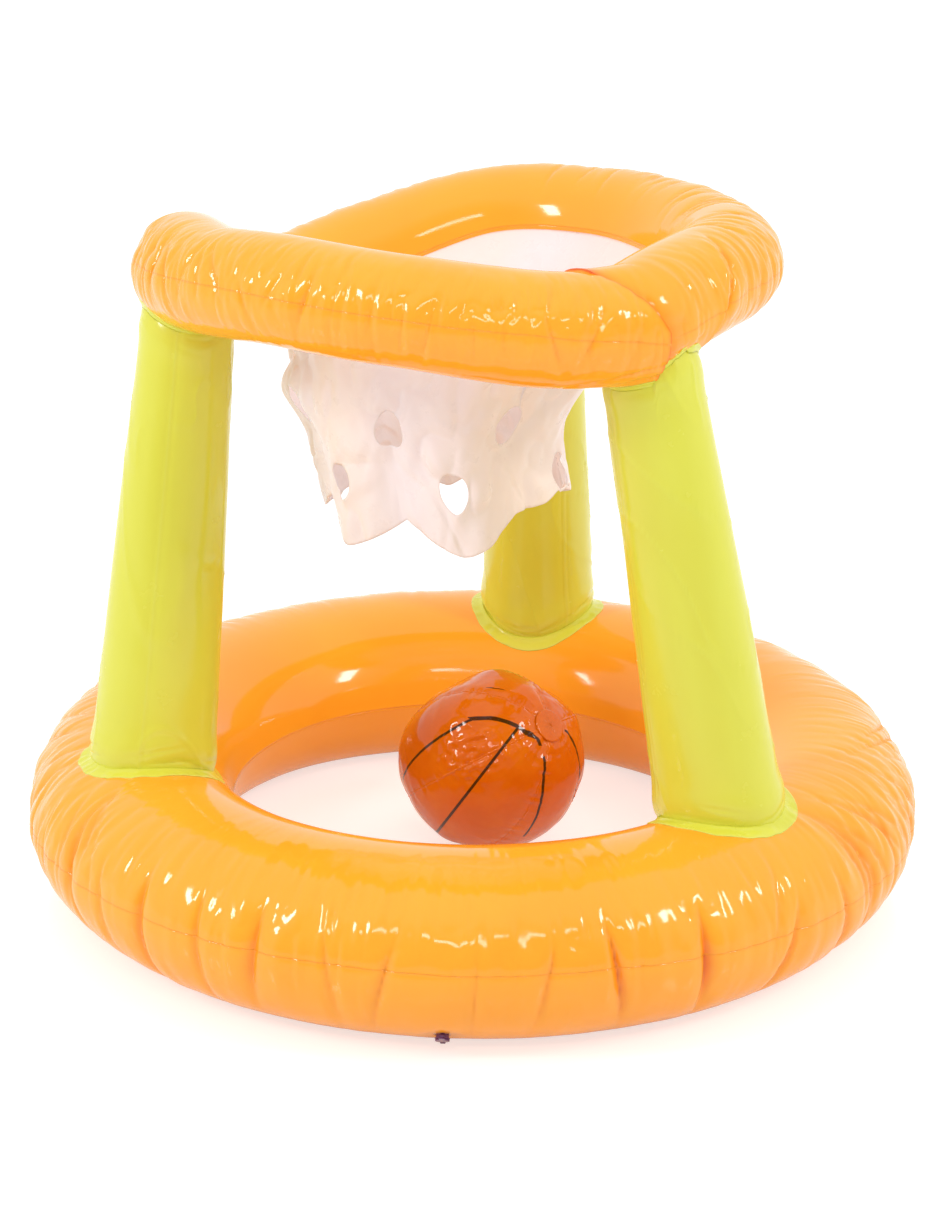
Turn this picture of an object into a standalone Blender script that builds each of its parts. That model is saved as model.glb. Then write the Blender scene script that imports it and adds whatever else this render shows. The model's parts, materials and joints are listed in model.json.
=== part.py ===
"""Floating basketball hoop for a pool, in metres, +Z up, with its front at -Y.

Everything is welded vinyl film. A wide base ring floats flat and a smaller hoop ring stands
over it on three tapered legs. Each ring is an upper and a lower sheet, welded along the
outer and the inner seam. A scalloped film net hangs from the hoop's inner seam, and a ball
of six panels lies inside the base ring. The rings and the ball each have a filling valve
with a flap inside and a stopper on a strap. The legs take their air from the hoop ring.

The origin is the centre of the base ring, on the plane that it rests on.
"""

import math

import bmesh
import bpy
import numpy as np
from mathutils import Matrix, Vector

TURN = 2 * math.pi
OBJECT_NAME = "floating_basketball_hoop"

# Film and welds
FILM = 0.0004
FIT_GAP = 0.0003
SEAM_LAP = 0.005
WELD_FILM = 0.0006

# Base ring: an oval section, pressed flat where it rests
BASE_OUTER_DIAMETER = 0.670
BASE_TUBE_WIDTH = 0.153
BASE_TUBE_HEIGHT = 0.128
BASE_REST_BAND = 0.036
BASE_STEPS = 48
BASE_ARC_STEPS = 4

# Hoop ring: the film sags between the legs and folds to a corner over the right leg
HOOP_RADIUS = 0.192
HOOP_HEIGHT = 0.475
HOOP_TUBE_WIDTH = 0.083
HOOP_TUBE_HEIGHT = 0.0755
HOOP_SHIFT_X = -0.011
HOOP_SHIFT_Y = -0.0055
HOOP_SAG = 0.029
HOOP_STEPS = 48
HOOP_ARC_STEPS = 3
HOOP_FIRST_SHARE_ANGLE = math.radians(20)
HOOP_RADIUS_SHARES = (1.0, 1.025, 1.03, 0.99, 1.005, 1.005, 0.965, 0.96, 0.98, 1.02, 0.985, 1.0)
HOOP_RISE_SHARES = (0.0, -0.1, -0.35, -1.2, -1.8, -0.4, 0.25, 0.65, 0.55, 0.2, 0.4, 0.25)
HOOP_CORNER_ANGLE = math.radians(306)
HOOP_CORNER_SPREAD = math.radians(30)
HOOP_CORNER_POWER = 1.5
HOOP_CORNER_PUSH_SHARE = 0.06
HOOP_CORNER_DROP_SHARE = 0.1
LOOK_AHEAD = math.radians(0.5)

# Legs: tapered tubes, with a weld flange at each end
LEG_NAMES = ("back", "left", "right")
LEG_FOOT_ANGLES = (math.radians(77.5), math.radians(197), math.radians(318))
LEG_TOP_ANGLES = (math.radians(72), math.radians(187), math.radians(308.5))
LEG_FOOT_INSET = 0.008
LEG_FOOT_DIAMETER = 0.097
LEG_TOP_DIAMETER = 0.064
LEG_SIDES = 24
FOOT_FLANGE_WIDTH = 0.009
TOP_FLANGE_WIDTH = 0.004
FLANGE_REACH = 0.020
AIR_HOLE_DIAMETER = 0.030
AIR_HOLE_SIDES = 12

# Net: six lobes, with a hole in each lobe and one between each two
NET_LOBES = 6
NET_FIRST_LOBE_ANGLE = math.radians(270)
NET_WELD_BAND = 0.006
NET_LENGTH = 0.189
NET_HEM_RADIUS = 0.091
NET_HEM_SHIFT_X = -0.0035
NET_BOW_X = -0.011
NET_DRAW_POWER = 2.6
NET_FOLD_DEPTH = 0.005
NET_SCALLOP_DEPTH = 0.024
NET_TIP_POWER = 1.3
NET_LOBE_SHARES = (1.0, 0.6, 0.9, 1.0, 0.9, 1.0)
NET_ROWS = 8
NET_HOLE_DIAMETER = 0.024
NET_HOLE_SIDES = 12
NET_LOBE_HOLE_RISE = 0.048
NET_BETWEEN_HOLE_RISE = 0.094
NET_CUT_REACH = 0.030

# Ball: six panels between two round end patches
BALL_DIAMETER = 0.144
BALL_X = 0.016
BALL_Y = 0.044
BALL_PANELS = 6
BALL_PANEL_STEPS = 4
BALL_MERIDIAN_STEPS = 10
BALL_END_HOLE_DIAMETER = 0.017
BALL_PATCH_DIAMETER = 0.026
BALL_PATCH_SIDES = 18
BALL_POLE = (0.61, -0.54, 0.58)

# Filling valves
VALVE_BORE_DIAMETER = 0.006
VALVE_STEM_DIAMETER = 0.009
VALVE_STEM_RISE = 0.003
VALVE_STEM_DEPTH = 0.007
VALVE_COLLAR_DIAMETER = 0.0105
VALVE_COLLAR_HEIGHT = 0.001
VALVE_FLANGE_DIAMETER = 0.016
VALVE_FLANGE_THICKNESS = 0.0008
VALVE_TAB_LENGTH = 0.010
VALVE_TAB_WIDTH = 0.004
VALVE_SIDES = 16
FLAP_DIAMETER = 0.008
PLUG_ROOT_DIAMETER = 0.0054
PLUG_TIP_DIAMETER = 0.0038
PLUG_DEPTH = 0.005
STOPPER_HEAD_DIAMETER = 0.010
STOPPER_HEAD_THICKNESS = 0.0012
STOPPER_GRIP_LENGTH = 0.003
BASE_VALVE_ANGLE = math.radians(264.5)
HOOP_VALVE_ANGLE = math.radians(140)
BASE_VALVE_SECTION_ANGLE = math.radians(-48)
HOOP_VALVE_SECTION_ANGLE = math.radians(-15)

MERGE = 0.00001
CUT_OVERRUN = 0.002
SHARP_ANGLE = math.radians(40)

# Colours: red, green, blue, then roughness
RING_ORANGE = ((1.0, 0.42, 0.04), 0.18)
LEG_LIME = ((0.76, 0.70, 0.07), 0.3)
NET_CLEAR = ((0.9, 0.74, 0.67), 0.25)
BALL_TAN = ((0.60, 0.11, 0.005), 0.15)
VALVE_PURPLE = ((0.12, 0.03, 0.14), 0.25)

# Worked out from the sizes above
BASE_RADIUS = (BASE_OUTER_DIAMETER - BASE_TUBE_WIDTH) / 2
BASE_REST_ANGLE = math.acos(BASE_REST_BAND / BASE_TUBE_WIDTH)
BASE_HEIGHT = BASE_TUBE_HEIGHT / 2 * math.sin(BASE_REST_ANGLE) + FIT_GAP / 2
HOOP_STEP_ANGLE = TURN / HOOP_STEPS
BALL_RADIUS = BALL_DIAMETER / 2
BALL_CENTRE = Vector((BALL_X, BALL_Y, BALL_RADIUS + FILM + 2 * FIT_GAP))


def clear_scene():
    """Removes every object of the scene that is open."""
    for obj in list(bpy.data.objects):
        bpy.data.objects.remove(obj, do_unlink=True)


def new_collection(name):
    """A collection linked to the scene."""
    group = bpy.data.collections.new(name)
    bpy.context.scene.collection.children.link(group)
    return group


def new_material(name, finish):
    """A Principled material of one colour and roughness."""
    colour, roughness = finish
    material = bpy.data.materials.new(name)
    material.use_nodes = True
    shader = material.node_tree.nodes["Principled BSDF"]
    shader.inputs["Base Color"].default_value = (*colour, 1)
    shader.inputs["Roughness"].default_value = roughness
    shader.inputs["Metallic"].default_value = 0
    material.diffuse_color = (*colour, 1)
    return material


def new_object(name, mesh, group, material=None):
    """An object on a mesh, in a collection, smooth but for its sharp edges."""
    obj = bpy.data.objects.new(name, mesh)
    group.objects.link(obj)
    if material:
        mesh.materials.append(material)
    mesh.shade_smooth()
    mesh.set_sharp_from_angle(angle=SHARP_ANGLE)
    return obj


def new_cutter(name, mesh):
    """An object that only cuts others: it doesn't render and shows as wire."""
    obj = new_object(name, mesh, cutters)
    obj.hide_render = True
    obj.display_type = "WIRE"
    return obj


def boolean(obj, operation, cutter):
    """Adds a Boolean modifier to an object."""
    modifier = obj.modifiers.new(operation.lower() + "_" + cutter.name, "BOOLEAN")
    modifier.operation = operation
    modifier.object = cutter
    modifier.solver = "EXACT"


def solidify(obj, thickness):
    """Gives an open surface a wall on its inner side."""
    modifier = obj.modifiers.new("wall", "SOLIDIFY")
    modifier.thickness = thickness
    modifier.offset = -1
    modifier.use_even_offset = True


def screw(obj, steps, angle=TURN):
    """Turns an object's profile round its Z axis."""
    modifier = obj.modifiers.new("turn", "SCREW")
    modifier.angle = angle
    modifier.steps = steps
    modifier.render_steps = steps
    modifier.use_merge_vertices = True
    modifier.merge_threshold = MERGE


def turn_to(direction):
    """A turn that brings Z to a direction."""
    return direction.to_track_quat("Z", "Y").to_matrix().to_4x4()


def profile_mesh(name, points, closed=False):
    """A mesh of edges through (radius, height) points, in the XZ plane."""
    count = len(points)
    edges = [(i, i + 1) for i in range(count - 1)]
    if closed:
        edges.append((count - 1, 0))
    mesh = bpy.data.meshes.new(name)
    mesh.from_pydata([(x, 0, z) for x, z in points], edges, [])
    return mesh


def taken_mesh(obj):
    """The mesh that an object's modifiers make, and the object is removed."""
    graph = bpy.context.evaluated_depsgraph_get()
    mesh = bpy.data.meshes.new_from_object(obj.evaluated_get(graph))
    bpy.data.objects.remove(obj, do_unlink=True)
    return mesh


def arc(width, height, first, last, steps):
    """Points of an oval of this width and height, from one angle to another."""
    angles = np.linspace(first, last, steps + 1)
    return np.column_stack((width / 2 * np.cos(angles), height / 2 * np.sin(angles)))


def with_laps(points):
    """A half section with its two edges turned inwards, where the sheets are welded."""
    lap = np.array((SEAM_LAP, 0))
    inwards = np.sign(points[0, 0])
    return np.vstack((points[0] - inwards * lap, points, points[-1] + inwards * lap))


def base_half(upper, grown=0.0):
    """Half of the base ring's section, from the seam round to the other seam.

    The upper half runs over the top from the inner seam, and the lower one under the flat
    band from the outer seam. Both are half a gap from the seam's plane.
    """
    width = BASE_TUBE_WIDTH + 2 * grown
    height = BASE_TUBE_HEIGHT + 2 * grown
    shift = np.array((0, FIT_GAP / 2))
    if upper:
        return arc(width, height, math.pi, 0, 2 * BASE_ARC_STEPS) + shift
    outer = arc(width, height, 0, -BASE_REST_ANGLE, BASE_ARC_STEPS)
    inner = arc(width, height, BASE_REST_ANGLE - math.pi, -math.pi, BASE_ARC_STEPS)
    return np.vstack((outer, inner)) - shift


def hoop_half(upper, grown=0.0):
    """Half of the hoop ring's section, in the same order as the base ring's."""
    width = HOOP_TUBE_WIDTH + 2 * grown
    height = HOOP_TUBE_HEIGHT + 2 * grown
    shift = np.array((0, FIT_GAP / 2))
    if upper:
        return arc(width, height, math.pi, 0, 2 * HOOP_ARC_STEPS) + shift
    return arc(width, height, 0, -math.pi, 2 * HOOP_ARC_STEPS) - shift


def round_values(shares, angles):
    """A smooth closed curve through shares at even angles, read at other angles."""
    shares = np.asarray(shares)
    count = len(shares)
    places = (angles - HOOP_FIRST_SHARE_ANGLE) / (TURN / count) % count
    index = places.astype(int)
    t = places - index
    before, start, end, after = (shares[(index + k) % count] for k in (-1, 0, 1, 2))
    slope = (end - before) / 2
    bend = before - 2.5 * start + 2 * end - after / 2
    twist = (after - before) / 2 + 1.5 * (start - end)
    return start + slope * t + bend * t**2 + twist * t**3


def hoop_centreline(angles):
    """Points of the hoop ring's centreline at angles round its own centre."""
    from_corner = np.abs((angles - HOOP_CORNER_ANGLE + math.pi) % TURN - math.pi)
    corner = np.clip(1 - from_corner / HOOP_CORNER_SPREAD, 0, None) ** HOOP_CORNER_POWER
    radius = HOOP_RADIUS * (
        round_values(HOOP_RADIUS_SHARES, angles) + HOOP_CORNER_PUSH_SHARE * corner
    )
    rise = HOOP_SAG * (round_values(HOOP_RISE_SHARES, angles) - HOOP_CORNER_DROP_SHARE * corner)
    return np.column_stack(
        (
            HOOP_SHIFT_X + radius * np.cos(angles),
            HOOP_SHIFT_Y + radius * np.sin(angles),
            HOOP_HEIGHT + rise,
        )
    )


def unit(vectors):
    """Vectors brought to length 1, row by row."""
    return vectors / np.linalg.norm(vectors, axis=1, keepdims=True)


def on_hoop(angles, across, up):
    """Points beside the hoop's centreline: out from it by across, and up by up.

    The section stands square to the centreline. At the corner it stands on the mitre,
    where it is wider, so that the tube keeps its width on both sides.
    """
    here = hoop_centreline(angles)
    behind = unit(here - hoop_centreline(angles - LOOK_AHEAD))
    ahead = unit(hoop_centreline(angles + LOOK_AHEAD) - here)
    along = unit(behind + ahead)
    outwards = unit(np.cross(along, (0, 0, 1)))
    upwards = np.cross(outwards, along)
    mitre = 1 / np.sum(behind * along, axis=1, keepdims=True)
    across, up = np.broadcast_arrays(across, up)
    return here + across.reshape(-1, 1) * mitre * outwards + up.reshape(-1, 1) * upwards


def base_mesh_object(name, section, closed, group, material=None):
    """The base ring's section, or a part of it, turned round the ring's centre."""
    points = section + (BASE_RADIUS, 0)
    obj = new_object(name, profile_mesh(name, points, closed), group, material)
    obj.location.z = BASE_HEIGHT
    screw(obj, BASE_STEPS)
    return obj


def hoop_mesh(name, section, closed):
    """The hoop ring's section turned to a plain ring, then laid along its centreline."""
    points = section + (HOOP_RADIUS, 0)
    turned = bpy.data.objects.new(name, profile_mesh(name, points, closed))
    cutters.objects.link(turned)
    screw(turned, HOOP_STEPS)
    mesh = taken_mesh(turned)
    flat = np.empty(len(mesh.vertices) * 3)
    mesh.vertices.foreach_get("co", flat)
    x, y, z = flat.reshape(-1, 3).T
    angles = np.arctan2(y, x) + HOOP_CORNER_ANGLE
    mesh.vertices.foreach_set("co", on_hoop(angles, np.hypot(x, y) - HOOP_RADIUS, z).ravel())
    return mesh


def base_blank(grown):
    """The base ring as a filled ring, grown on every side: a cutter."""
    section = np.vstack((base_half(True, grown), base_half(False, grown)))
    obj = base_mesh_object(f"base_blank_{len(cutters.objects)}", section, True, cutters)
    obj.hide_render = True
    obj.display_type = "WIRE"
    return obj


def hoop_blank(grown):
    """The hoop ring as a filled ring, grown on every side: a cutter."""
    name = f"hoop_blank_{len(cutters.objects)}"
    section = np.vstack((hoop_half(True, grown), hoop_half(False, grown)))
    return new_cutter(name, hoop_mesh(name, section, True))


def tube_mesh(name, radius_foot, radius_top, length, sides, caps):
    """A cone or cylinder from z = 0 up to its length."""
    mesh = bpy.data.meshes.new(name)
    bm = bmesh.new()
    bmesh.ops.create_cone(
        bm,
        cap_ends=caps,
        segments=sides,
        radius1=radius_foot,
        radius2=radius_top,
        depth=length,
        matrix=Matrix.Translation((0, 0, length / 2)),
    )
    bm.to_mesh(mesh)
    bm.free()
    return mesh


def build_rings():
    """The two sheets of each ring. The lower ones are returned, to be holed later."""
    lower = {}
    for half, upper in (("upper", True), ("lower", False)):
        base = base_mesh_object(
            f"base_ring_{half}_sheet", with_laps(base_half(upper)), False, parts, orange
        )
        name = f"hoop_ring_{half}_sheet"
        hoop = new_object(name, hoop_mesh(name, with_laps(hoop_half(upper)), False), parts, orange)
        for sheet in (base, hoop):
            solidify(sheet, FILM)
        if not upper:
            lower = {"base": base, "hoop": hoop}
    return lower


class Leg:
    """One leg: its axis, from the base ring's centreline to the hoop ring's."""

    def __init__(self, name, foot_angle, top_angle):
        self.name = name
        reach = BASE_RADIUS - LEG_FOOT_INSET
        foot = (reach * math.cos(foot_angle), reach * math.sin(foot_angle), BASE_HEIGHT)
        self.foot = Vector(foot)
        self.top = Vector(hoop_centreline(np.array([top_angle]))[0])
        self.length = (self.top - self.foot).length
        self.turn = turn_to(self.top - self.foot)

    def place(self, obj, along=0.0):
        """Stands an object on the axis, this far up from the foot."""
        obj.matrix_world = (
            Matrix.Translation(self.foot) @ self.turn @ Matrix.Translation((0, 0, along))
        )

    def tube(self, name, grown=0.0, caps=False):
        """The leg's cone, grown on its radius, from centreline to centreline."""
        foot_radius = LEG_FOOT_DIAMETER / 2 + grown
        top_radius = LEG_TOP_DIAMETER / 2 + grown
        return tube_mesh(name, foot_radius, top_radius, self.length, LEG_SIDES, caps)


def build_leg(leg, blanks, hoop_lower):
    """A leg, its two weld flanges, and the hole that lets air into it."""
    tube = new_object(f"{leg.name}_leg", leg.tube(f"{leg.name}_leg"), parts, lime)
    leg.place(tube)
    solidify(tube, FILM)
    boolean(tube, "DIFFERENCE", blanks["base"][0])
    boolean(tube, "DIFFERENCE", blanks["hoop"][0])

    core = new_cutter(f"{leg.name}_leg_core", leg.tube("core", FIT_GAP, caps=True))
    leg.place(core)
    foot_radius = LEG_FOOT_DIAMETER / 2 + FOOT_FLANGE_WIDTH
    top_radius = LEG_TOP_DIAMETER / 2 + TOP_FLANGE_WIDTH
    foot_reach = BASE_TUBE_HEIGHT / 2 + FLANGE_REACH
    top_reach = HOOP_TUBE_HEIGHT / 2 + FLANGE_REACH
    for end, radius, reach, along, ring in (
        ("foot", foot_radius, foot_reach, 0, "base"),
        ("top", top_radius, top_reach, leg.length - top_reach, "hoop"),
    ):
        name = f"{leg.name}_leg_{end}_flange"
        disc = tube_mesh(name, radius, radius, reach, LEG_SIDES, True)
        flange = new_object(name, disc, parts, lime)
        leg.place(flange, along)
        boolean(flange, "INTERSECT", blanks[ring][1])
        boolean(flange, "DIFFERENCE", blanks[ring][0])
        boolean(flange, "DIFFERENCE", core)

    hole = AIR_HOLE_DIAMETER / 2
    air = tube_mesh(f"{leg.name}_air_hole", hole, hole, top_reach, AIR_HOLE_SIDES, True)
    air_cutter = new_cutter(f"{leg.name}_air_hole", air)
    leg.place(air_cutter, leg.length - top_reach)
    boolean(hoop_lower, "DIFFERENCE", air_cutter)


def net_points(angles, drop):
    """Points of the net at angles round the hoop, and at drops from 0, weld, to 1, hem.

    The film draws in quickly below the weld and then hangs almost straight, bowed to the
    left at half its length. Its folds deepen towards the hem, which comes to a point in the
    middle of each lobe.
    """
    inner = -(HOOP_TUBE_WIDTH / 2 + FIT_GAP)
    weld = on_hoop(angles, inner, -NET_WELD_BAND / 2)
    lobe_angle = TURN / NET_LOBES
    places = (angles - NET_FIRST_LOBE_ANGLE) / lobe_angle + 0.5
    from_tip = 2 * np.abs(places % 1 - 0.5)
    shares = np.asarray(NET_LOBE_SHARES)[np.floor(places).astype(int) % NET_LOBES]
    scallop = NET_SCALLOP_DEPTH * shares * (1 - from_tip**NET_TIP_POWER)
    radius = NET_HEM_RADIUS + NET_FOLD_DEPTH * np.cos(math.pi * from_tip)
    hem = np.column_stack(
        (
            HOOP_SHIFT_X + NET_HEM_SHIFT_X + radius * np.cos(angles),
            HOOP_SHIFT_Y + radius * np.sin(angles),
            HOOP_HEIGHT - NET_LENGTH + NET_SCALLOP_DEPTH - scallop,
        )
    )
    drop = np.reshape(drop, (-1, 1))
    drawn = 1 - (1 - drop) ** NET_DRAW_POWER
    bow = 4 * drop * (1 - drop) * np.array((NET_BOW_X, 0, 0))
    return weld + (hem - weld) * np.hstack((drawn, drawn, drop)) + bow


def net_hole_cutters():
    """Round cutters for the net's holes, lying along its radii, as one mesh."""
    mesh = bpy.data.meshes.new("net_holes")
    bm = bmesh.new()
    for row, rise in ((0, NET_LOBE_HOLE_RISE), (0.5, NET_BETWEEN_HOLE_RISE)):
        for lobe in range(NET_LOBES):
            angle = np.array([NET_FIRST_LOBE_ANGLE + (lobe + row) * TURN / NET_LOBES])
            weld, hem = net_points(angle, 0)[0], net_points(angle, 1)[0]
            level = HOOP_HEIGHT - NET_LENGTH + rise
            centre = Vector(net_points(angle, (weld[2] - level) / (weld[2] - hem[2]))[0])
            outwards = Vector((math.cos(angle[0]), math.sin(angle[0]), 0))
            bmesh.ops.create_cone(
                bm,
                cap_ends=True,
                segments=NET_HOLE_SIDES,
                radius1=NET_HOLE_DIAMETER / 2,
                radius2=NET_HOLE_DIAMETER / 2,
                depth=NET_CUT_REACH,
                matrix=Matrix.Translation(centre) @ turn_to(outwards),
            )
    bm.to_mesh(mesh)
    bm.free()
    return new_cutter("net_holes", mesh)


def build_net():
    """The net: one sheet of film, welded to the hoop's inner seam at its top band."""
    angles = HOOP_CORNER_ANGLE + HOOP_STEP_ANGLE * np.arange(HOOP_STEPS)
    inner = -(HOOP_TUBE_WIDTH / 2 + FIT_GAP)
    rows = [on_hoop(angles, inner, NET_WELD_BAND / 2)]
    rows += [net_points(angles, drop) for drop in np.linspace(0, 1, NET_ROWS)]
    faces = []
    for row in range(len(rows) - 1):
        for step in range(HOOP_STEPS):
            after = (step + 1) % HOOP_STEPS
            upper, lower = row * HOOP_STEPS, (row + 1) * HOOP_STEPS
            faces.append((upper + step, lower + step, lower + after, upper + after))
    mesh = bpy.data.meshes.new("net")
    mesh.from_pydata(np.vstack(rows).tolist(), [], faces)
    net = new_object("net", mesh, parts, clear_film)
    solidify(net, FILM)
    boolean(net, "DIFFERENCE", net_hole_cutters())


def valve_body_points(flange_diameter):
    """The valve's closed profile, down the outside and up the bore.

    Height 0 is the film's outer face. The flange is welded under the film.
    """
    bore, stem = VALVE_BORE_DIAMETER / 2, VALVE_STEM_DIAMETER / 2
    collar, flange = VALVE_COLLAR_DIAMETER / 2, flange_diameter / 2
    under = -(FILM + FIT_GAP)
    collar_foot = VALVE_STEM_RISE - VALVE_COLLAR_HEIGHT
    return (
        (bore, VALVE_STEM_RISE),
        (collar, VALVE_STEM_RISE),
        (collar, collar_foot),
        (stem, collar_foot),
        (stem, under),
        (flange, under),
        (flange, under - VALVE_FLANGE_THICKNESS),
        (stem, under - VALVE_FLANGE_THICKNESS),
        (stem, -VALVE_STEM_DEPTH),
        (bore, -VALVE_STEM_DEPTH),
    )


def bar_mesh(name, first, last, width, low, high):
    """A flat bar along Y from first to last, between two heights."""
    mesh = bpy.data.meshes.new(name)
    bm = bmesh.new()
    size = Matrix.Diagonal((width, last - first, high - low, 1))
    centre = Matrix.Translation((0, (first + last) / 2, (low + high) / 2))
    bmesh.ops.create_cube(bm, size=1, matrix=centre @ size)
    bm.to_mesh(mesh)
    bm.free()
    return mesh


def build_valve(owner, seat, flange_diameter, parent=None):
    """A filling valve with its flap and stopper, on a seat whose Z points out of the film.

    The stopper swings on its strap, about the end of the valve's tab on the seat's +Y side.
    Returns the cutter for the hole in the film.
    """
    frame = bpy.data.objects.new(f"{owner}_valve_seat", None)
    parts.objects.link(frame)
    frame.matrix_world = seat
    if parent:
        frame.parent = parent
        frame.matrix_parent_inverse = parent.matrix_world.inverted()

    body = new_object(
        f"{owner}_valve",
        profile_mesh("valve", valve_body_points(flange_diameter), True),
        parts,
        purple,
    )
    body.parent = frame
    screw(body, VALVE_SIDES)
    wall = (VALVE_STEM_DIAMETER + VALVE_BORE_DIAMETER) / 4
    tab_low = VALVE_STEM_RISE - VALVE_COLLAR_HEIGHT
    tab_mesh = bar_mesh("tab", wall, VALVE_TAB_LENGTH, VALVE_TAB_WIDTH, tab_low, VALVE_STEM_RISE)
    tab = new_cutter(f"{owner}_valve_tab", tab_mesh)
    tab.parent = frame
    boolean(body, "UNION", tab)

    flap = new_object(
        f"{owner}_valve_flap",
        tube_mesh("flap", FLAP_DIAMETER / 2, FLAP_DIAMETER / 2, FILM, VALVE_SIDES, True),
        parts,
        clear_film,
    )
    flap.parent = frame
    flap.location.z = -(VALVE_STEM_DEPTH + FIT_GAP + FILM)

    head_low = FIT_GAP
    head_high = head_low + STOPPER_HEAD_THICKNESS
    head = STOPPER_HEAD_DIAMETER / 2
    stopper_points = (
        (0, head_high),
        (head, head_high),
        (head, head_low),
        (PLUG_ROOT_DIAMETER / 2, head_low),
        (PLUG_ROOT_DIAMETER / 2, 0),
        (PLUG_TIP_DIAMETER / 2, -PLUG_DEPTH),
        (0, -PLUG_DEPTH),
    )
    hinge = bpy.data.objects.new(f"{owner}_valve_hinge", None)
    parts.objects.link(hinge)
    hinge.parent = frame
    hinge.location = (0, VALVE_TAB_LENGTH, VALVE_STEM_RISE)
    stopper = new_object(
        f"{owner}_valve_stopper", profile_mesh("stopper", stopper_points), parts, purple
    )
    stopper.parent = hinge
    stopper.location.y = -VALVE_TAB_LENGTH
    screw(stopper, VALVE_SIDES)
    strap_mesh = bar_mesh(
        "strap",
        -(head + STOPPER_GRIP_LENGTH),
        VALVE_TAB_LENGTH,
        VALVE_TAB_WIDTH,
        head_low,
        head_high,
    )
    strap = new_cutter(f"{owner}_valve_strap", strap_mesh)
    strap.parent = stopper
    boolean(stopper, "UNION", strap)

    hole = VALVE_STEM_DIAMETER / 2 + FIT_GAP
    hole_mesh = tube_mesh("valve_hole", hole, hole, 2 * CUT_OVERRUN, VALVE_SIDES, True)
    cutter = new_cutter(f"{owner}_valve_hole", hole_mesh)
    cutter.parent = frame
    cutter.location.z = -CUT_OVERRUN
    return cutter


def facet_seat(corners):
    """A frame on a flat facet: Z out of it, and Y up along it.

    The corners are two points on one side of the facet and two on the other, with the
    upper edge first.
    """
    corners = [Vector(point) for point in corners]
    centre = sum(corners, Vector()) / len(corners)
    upwards = (corners[0] + corners[1] - corners[2] - corners[3]).normalized()
    sideways = (corners[1] + corners[3] - corners[0] - corners[2]).normalized()
    outwards = sideways.cross(upwards).normalized()
    upwards = outwards.cross(sideways)
    turn = Matrix((sideways, upwards, outwards)).transposed().to_4x4()
    return Matrix.Translation(centre) @ turn


def edges_below(section, angle):
    """The two points of a lower half section on either side of an angle round it."""
    angles = np.arctan2(section[:, 1], section[:, 0])
    first = np.flatnonzero(angles > angle)[-1]
    return section[first : first + 2]


def base_valve_seat():
    """The base valve's seat: a facet low on the front, near the floor."""
    step = TURN / BASE_STEPS
    first = math.floor(BASE_VALVE_ANGLE / step) * step
    edges = edges_below(base_half(False), BASE_VALVE_SECTION_ANGLE)
    corners = []
    for across, up in edges:
        for angle in (first, first + step):
            reach = BASE_RADIUS + across
            corners.append((reach * math.cos(angle), reach * math.sin(angle), BASE_HEIGHT + up))
    return facet_seat(corners)


def hoop_valve_seat():
    """The hoop valve's seat: a facet on the back, just under the outer seam."""
    steps = math.floor((HOOP_VALVE_ANGLE - HOOP_CORNER_ANGLE) / HOOP_STEP_ANGLE)
    first = HOOP_CORNER_ANGLE + steps * HOOP_STEP_ANGLE
    edges = edges_below(hoop_half(False), HOOP_VALVE_SECTION_ANGLE)
    corners = []
    for across, up in edges:
        for angle in (first, first + HOOP_STEP_ANGLE):
            corners.append(on_hoop(np.array([angle]), across, up)[0])
    return facet_seat(corners)


def build_ball():
    """The ball: six panels, a plain end patch, and one that carries the valve."""
    centre = bpy.data.objects.new("ball_centre", None)
    parts.objects.link(centre)
    centre.matrix_world = Matrix.Translation(BALL_CENTRE) @ turn_to(Vector(BALL_POLE))
    first = math.asin(BALL_END_HOLE_DIAMETER / BALL_DIAMETER)
    angles = np.linspace(math.pi / 2 - first, first - math.pi / 2, BALL_MERIDIAN_STEPS + 1)
    meridian = np.column_stack((np.cos(angles), np.sin(angles))) * BALL_RADIUS
    width = TURN / BALL_PANELS
    for number in range(BALL_PANELS):
        panel = new_object(
            f"ball_panel_{number + 1}", profile_mesh("panel", meridian), parts, tan
        )
        panel.parent = centre
        panel.rotation_euler.z = number * width
        middle = (number + 0.5) * width
        # Moved out by a gap, so that neighbouring edges stay one gap apart
        panel.location = (FIT_GAP * math.cos(middle), FIT_GAP * math.sin(middle), 0)
        screw(panel, BALL_PANEL_STEPS, width)
        solidify(panel, FILM)

    # A patch is flat over the panels' end hole, and its rim lies on the panels
    outside = BALL_RADIUS + 2 * FIT_GAP + FILM
    flat = BALL_END_HOLE_DIAMETER / 2
    level = math.sqrt(outside**2 - flat**2)
    rim = BALL_PATCH_DIAMETER / 2
    rim_level = math.sqrt(outside**2 - rim**2)
    valve_hole = VALVE_STEM_DIAMETER / 2 + FIT_GAP
    patches = (("ball_end_patch", 0, 0), ("ball_valve_patch", valve_hole, math.pi))
    for name, hole, turn in patches:
        points = ((hole, level), (flat, level), (rim, rim_level))
        patch = new_object(name, profile_mesh(name, points), parts, tan)
        patch.parent = centre
        patch.rotation_euler.x = turn
        screw(patch, BALL_PATCH_SIDES)
        solidify(patch, FILM)

    under = Matrix.Rotation(math.pi, 4, "X") @ Matrix.Translation((0, 0, level))
    build_valve("ball", centre.matrix_world @ under, BALL_END_HOLE_DIAMETER - 2 * FIT_GAP, centre)


clear_scene()
parts = new_collection(OBJECT_NAME)
cutters = new_collection("cutters")
orange = new_material("ring_orange", RING_ORANGE)
lime = new_material("leg_lime", LEG_LIME)
clear_film = new_material("net_clear", NET_CLEAR)
tan = new_material("ball_tan", BALL_TAN)
purple = new_material("valve_purple", VALVE_PURPLE)

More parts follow.
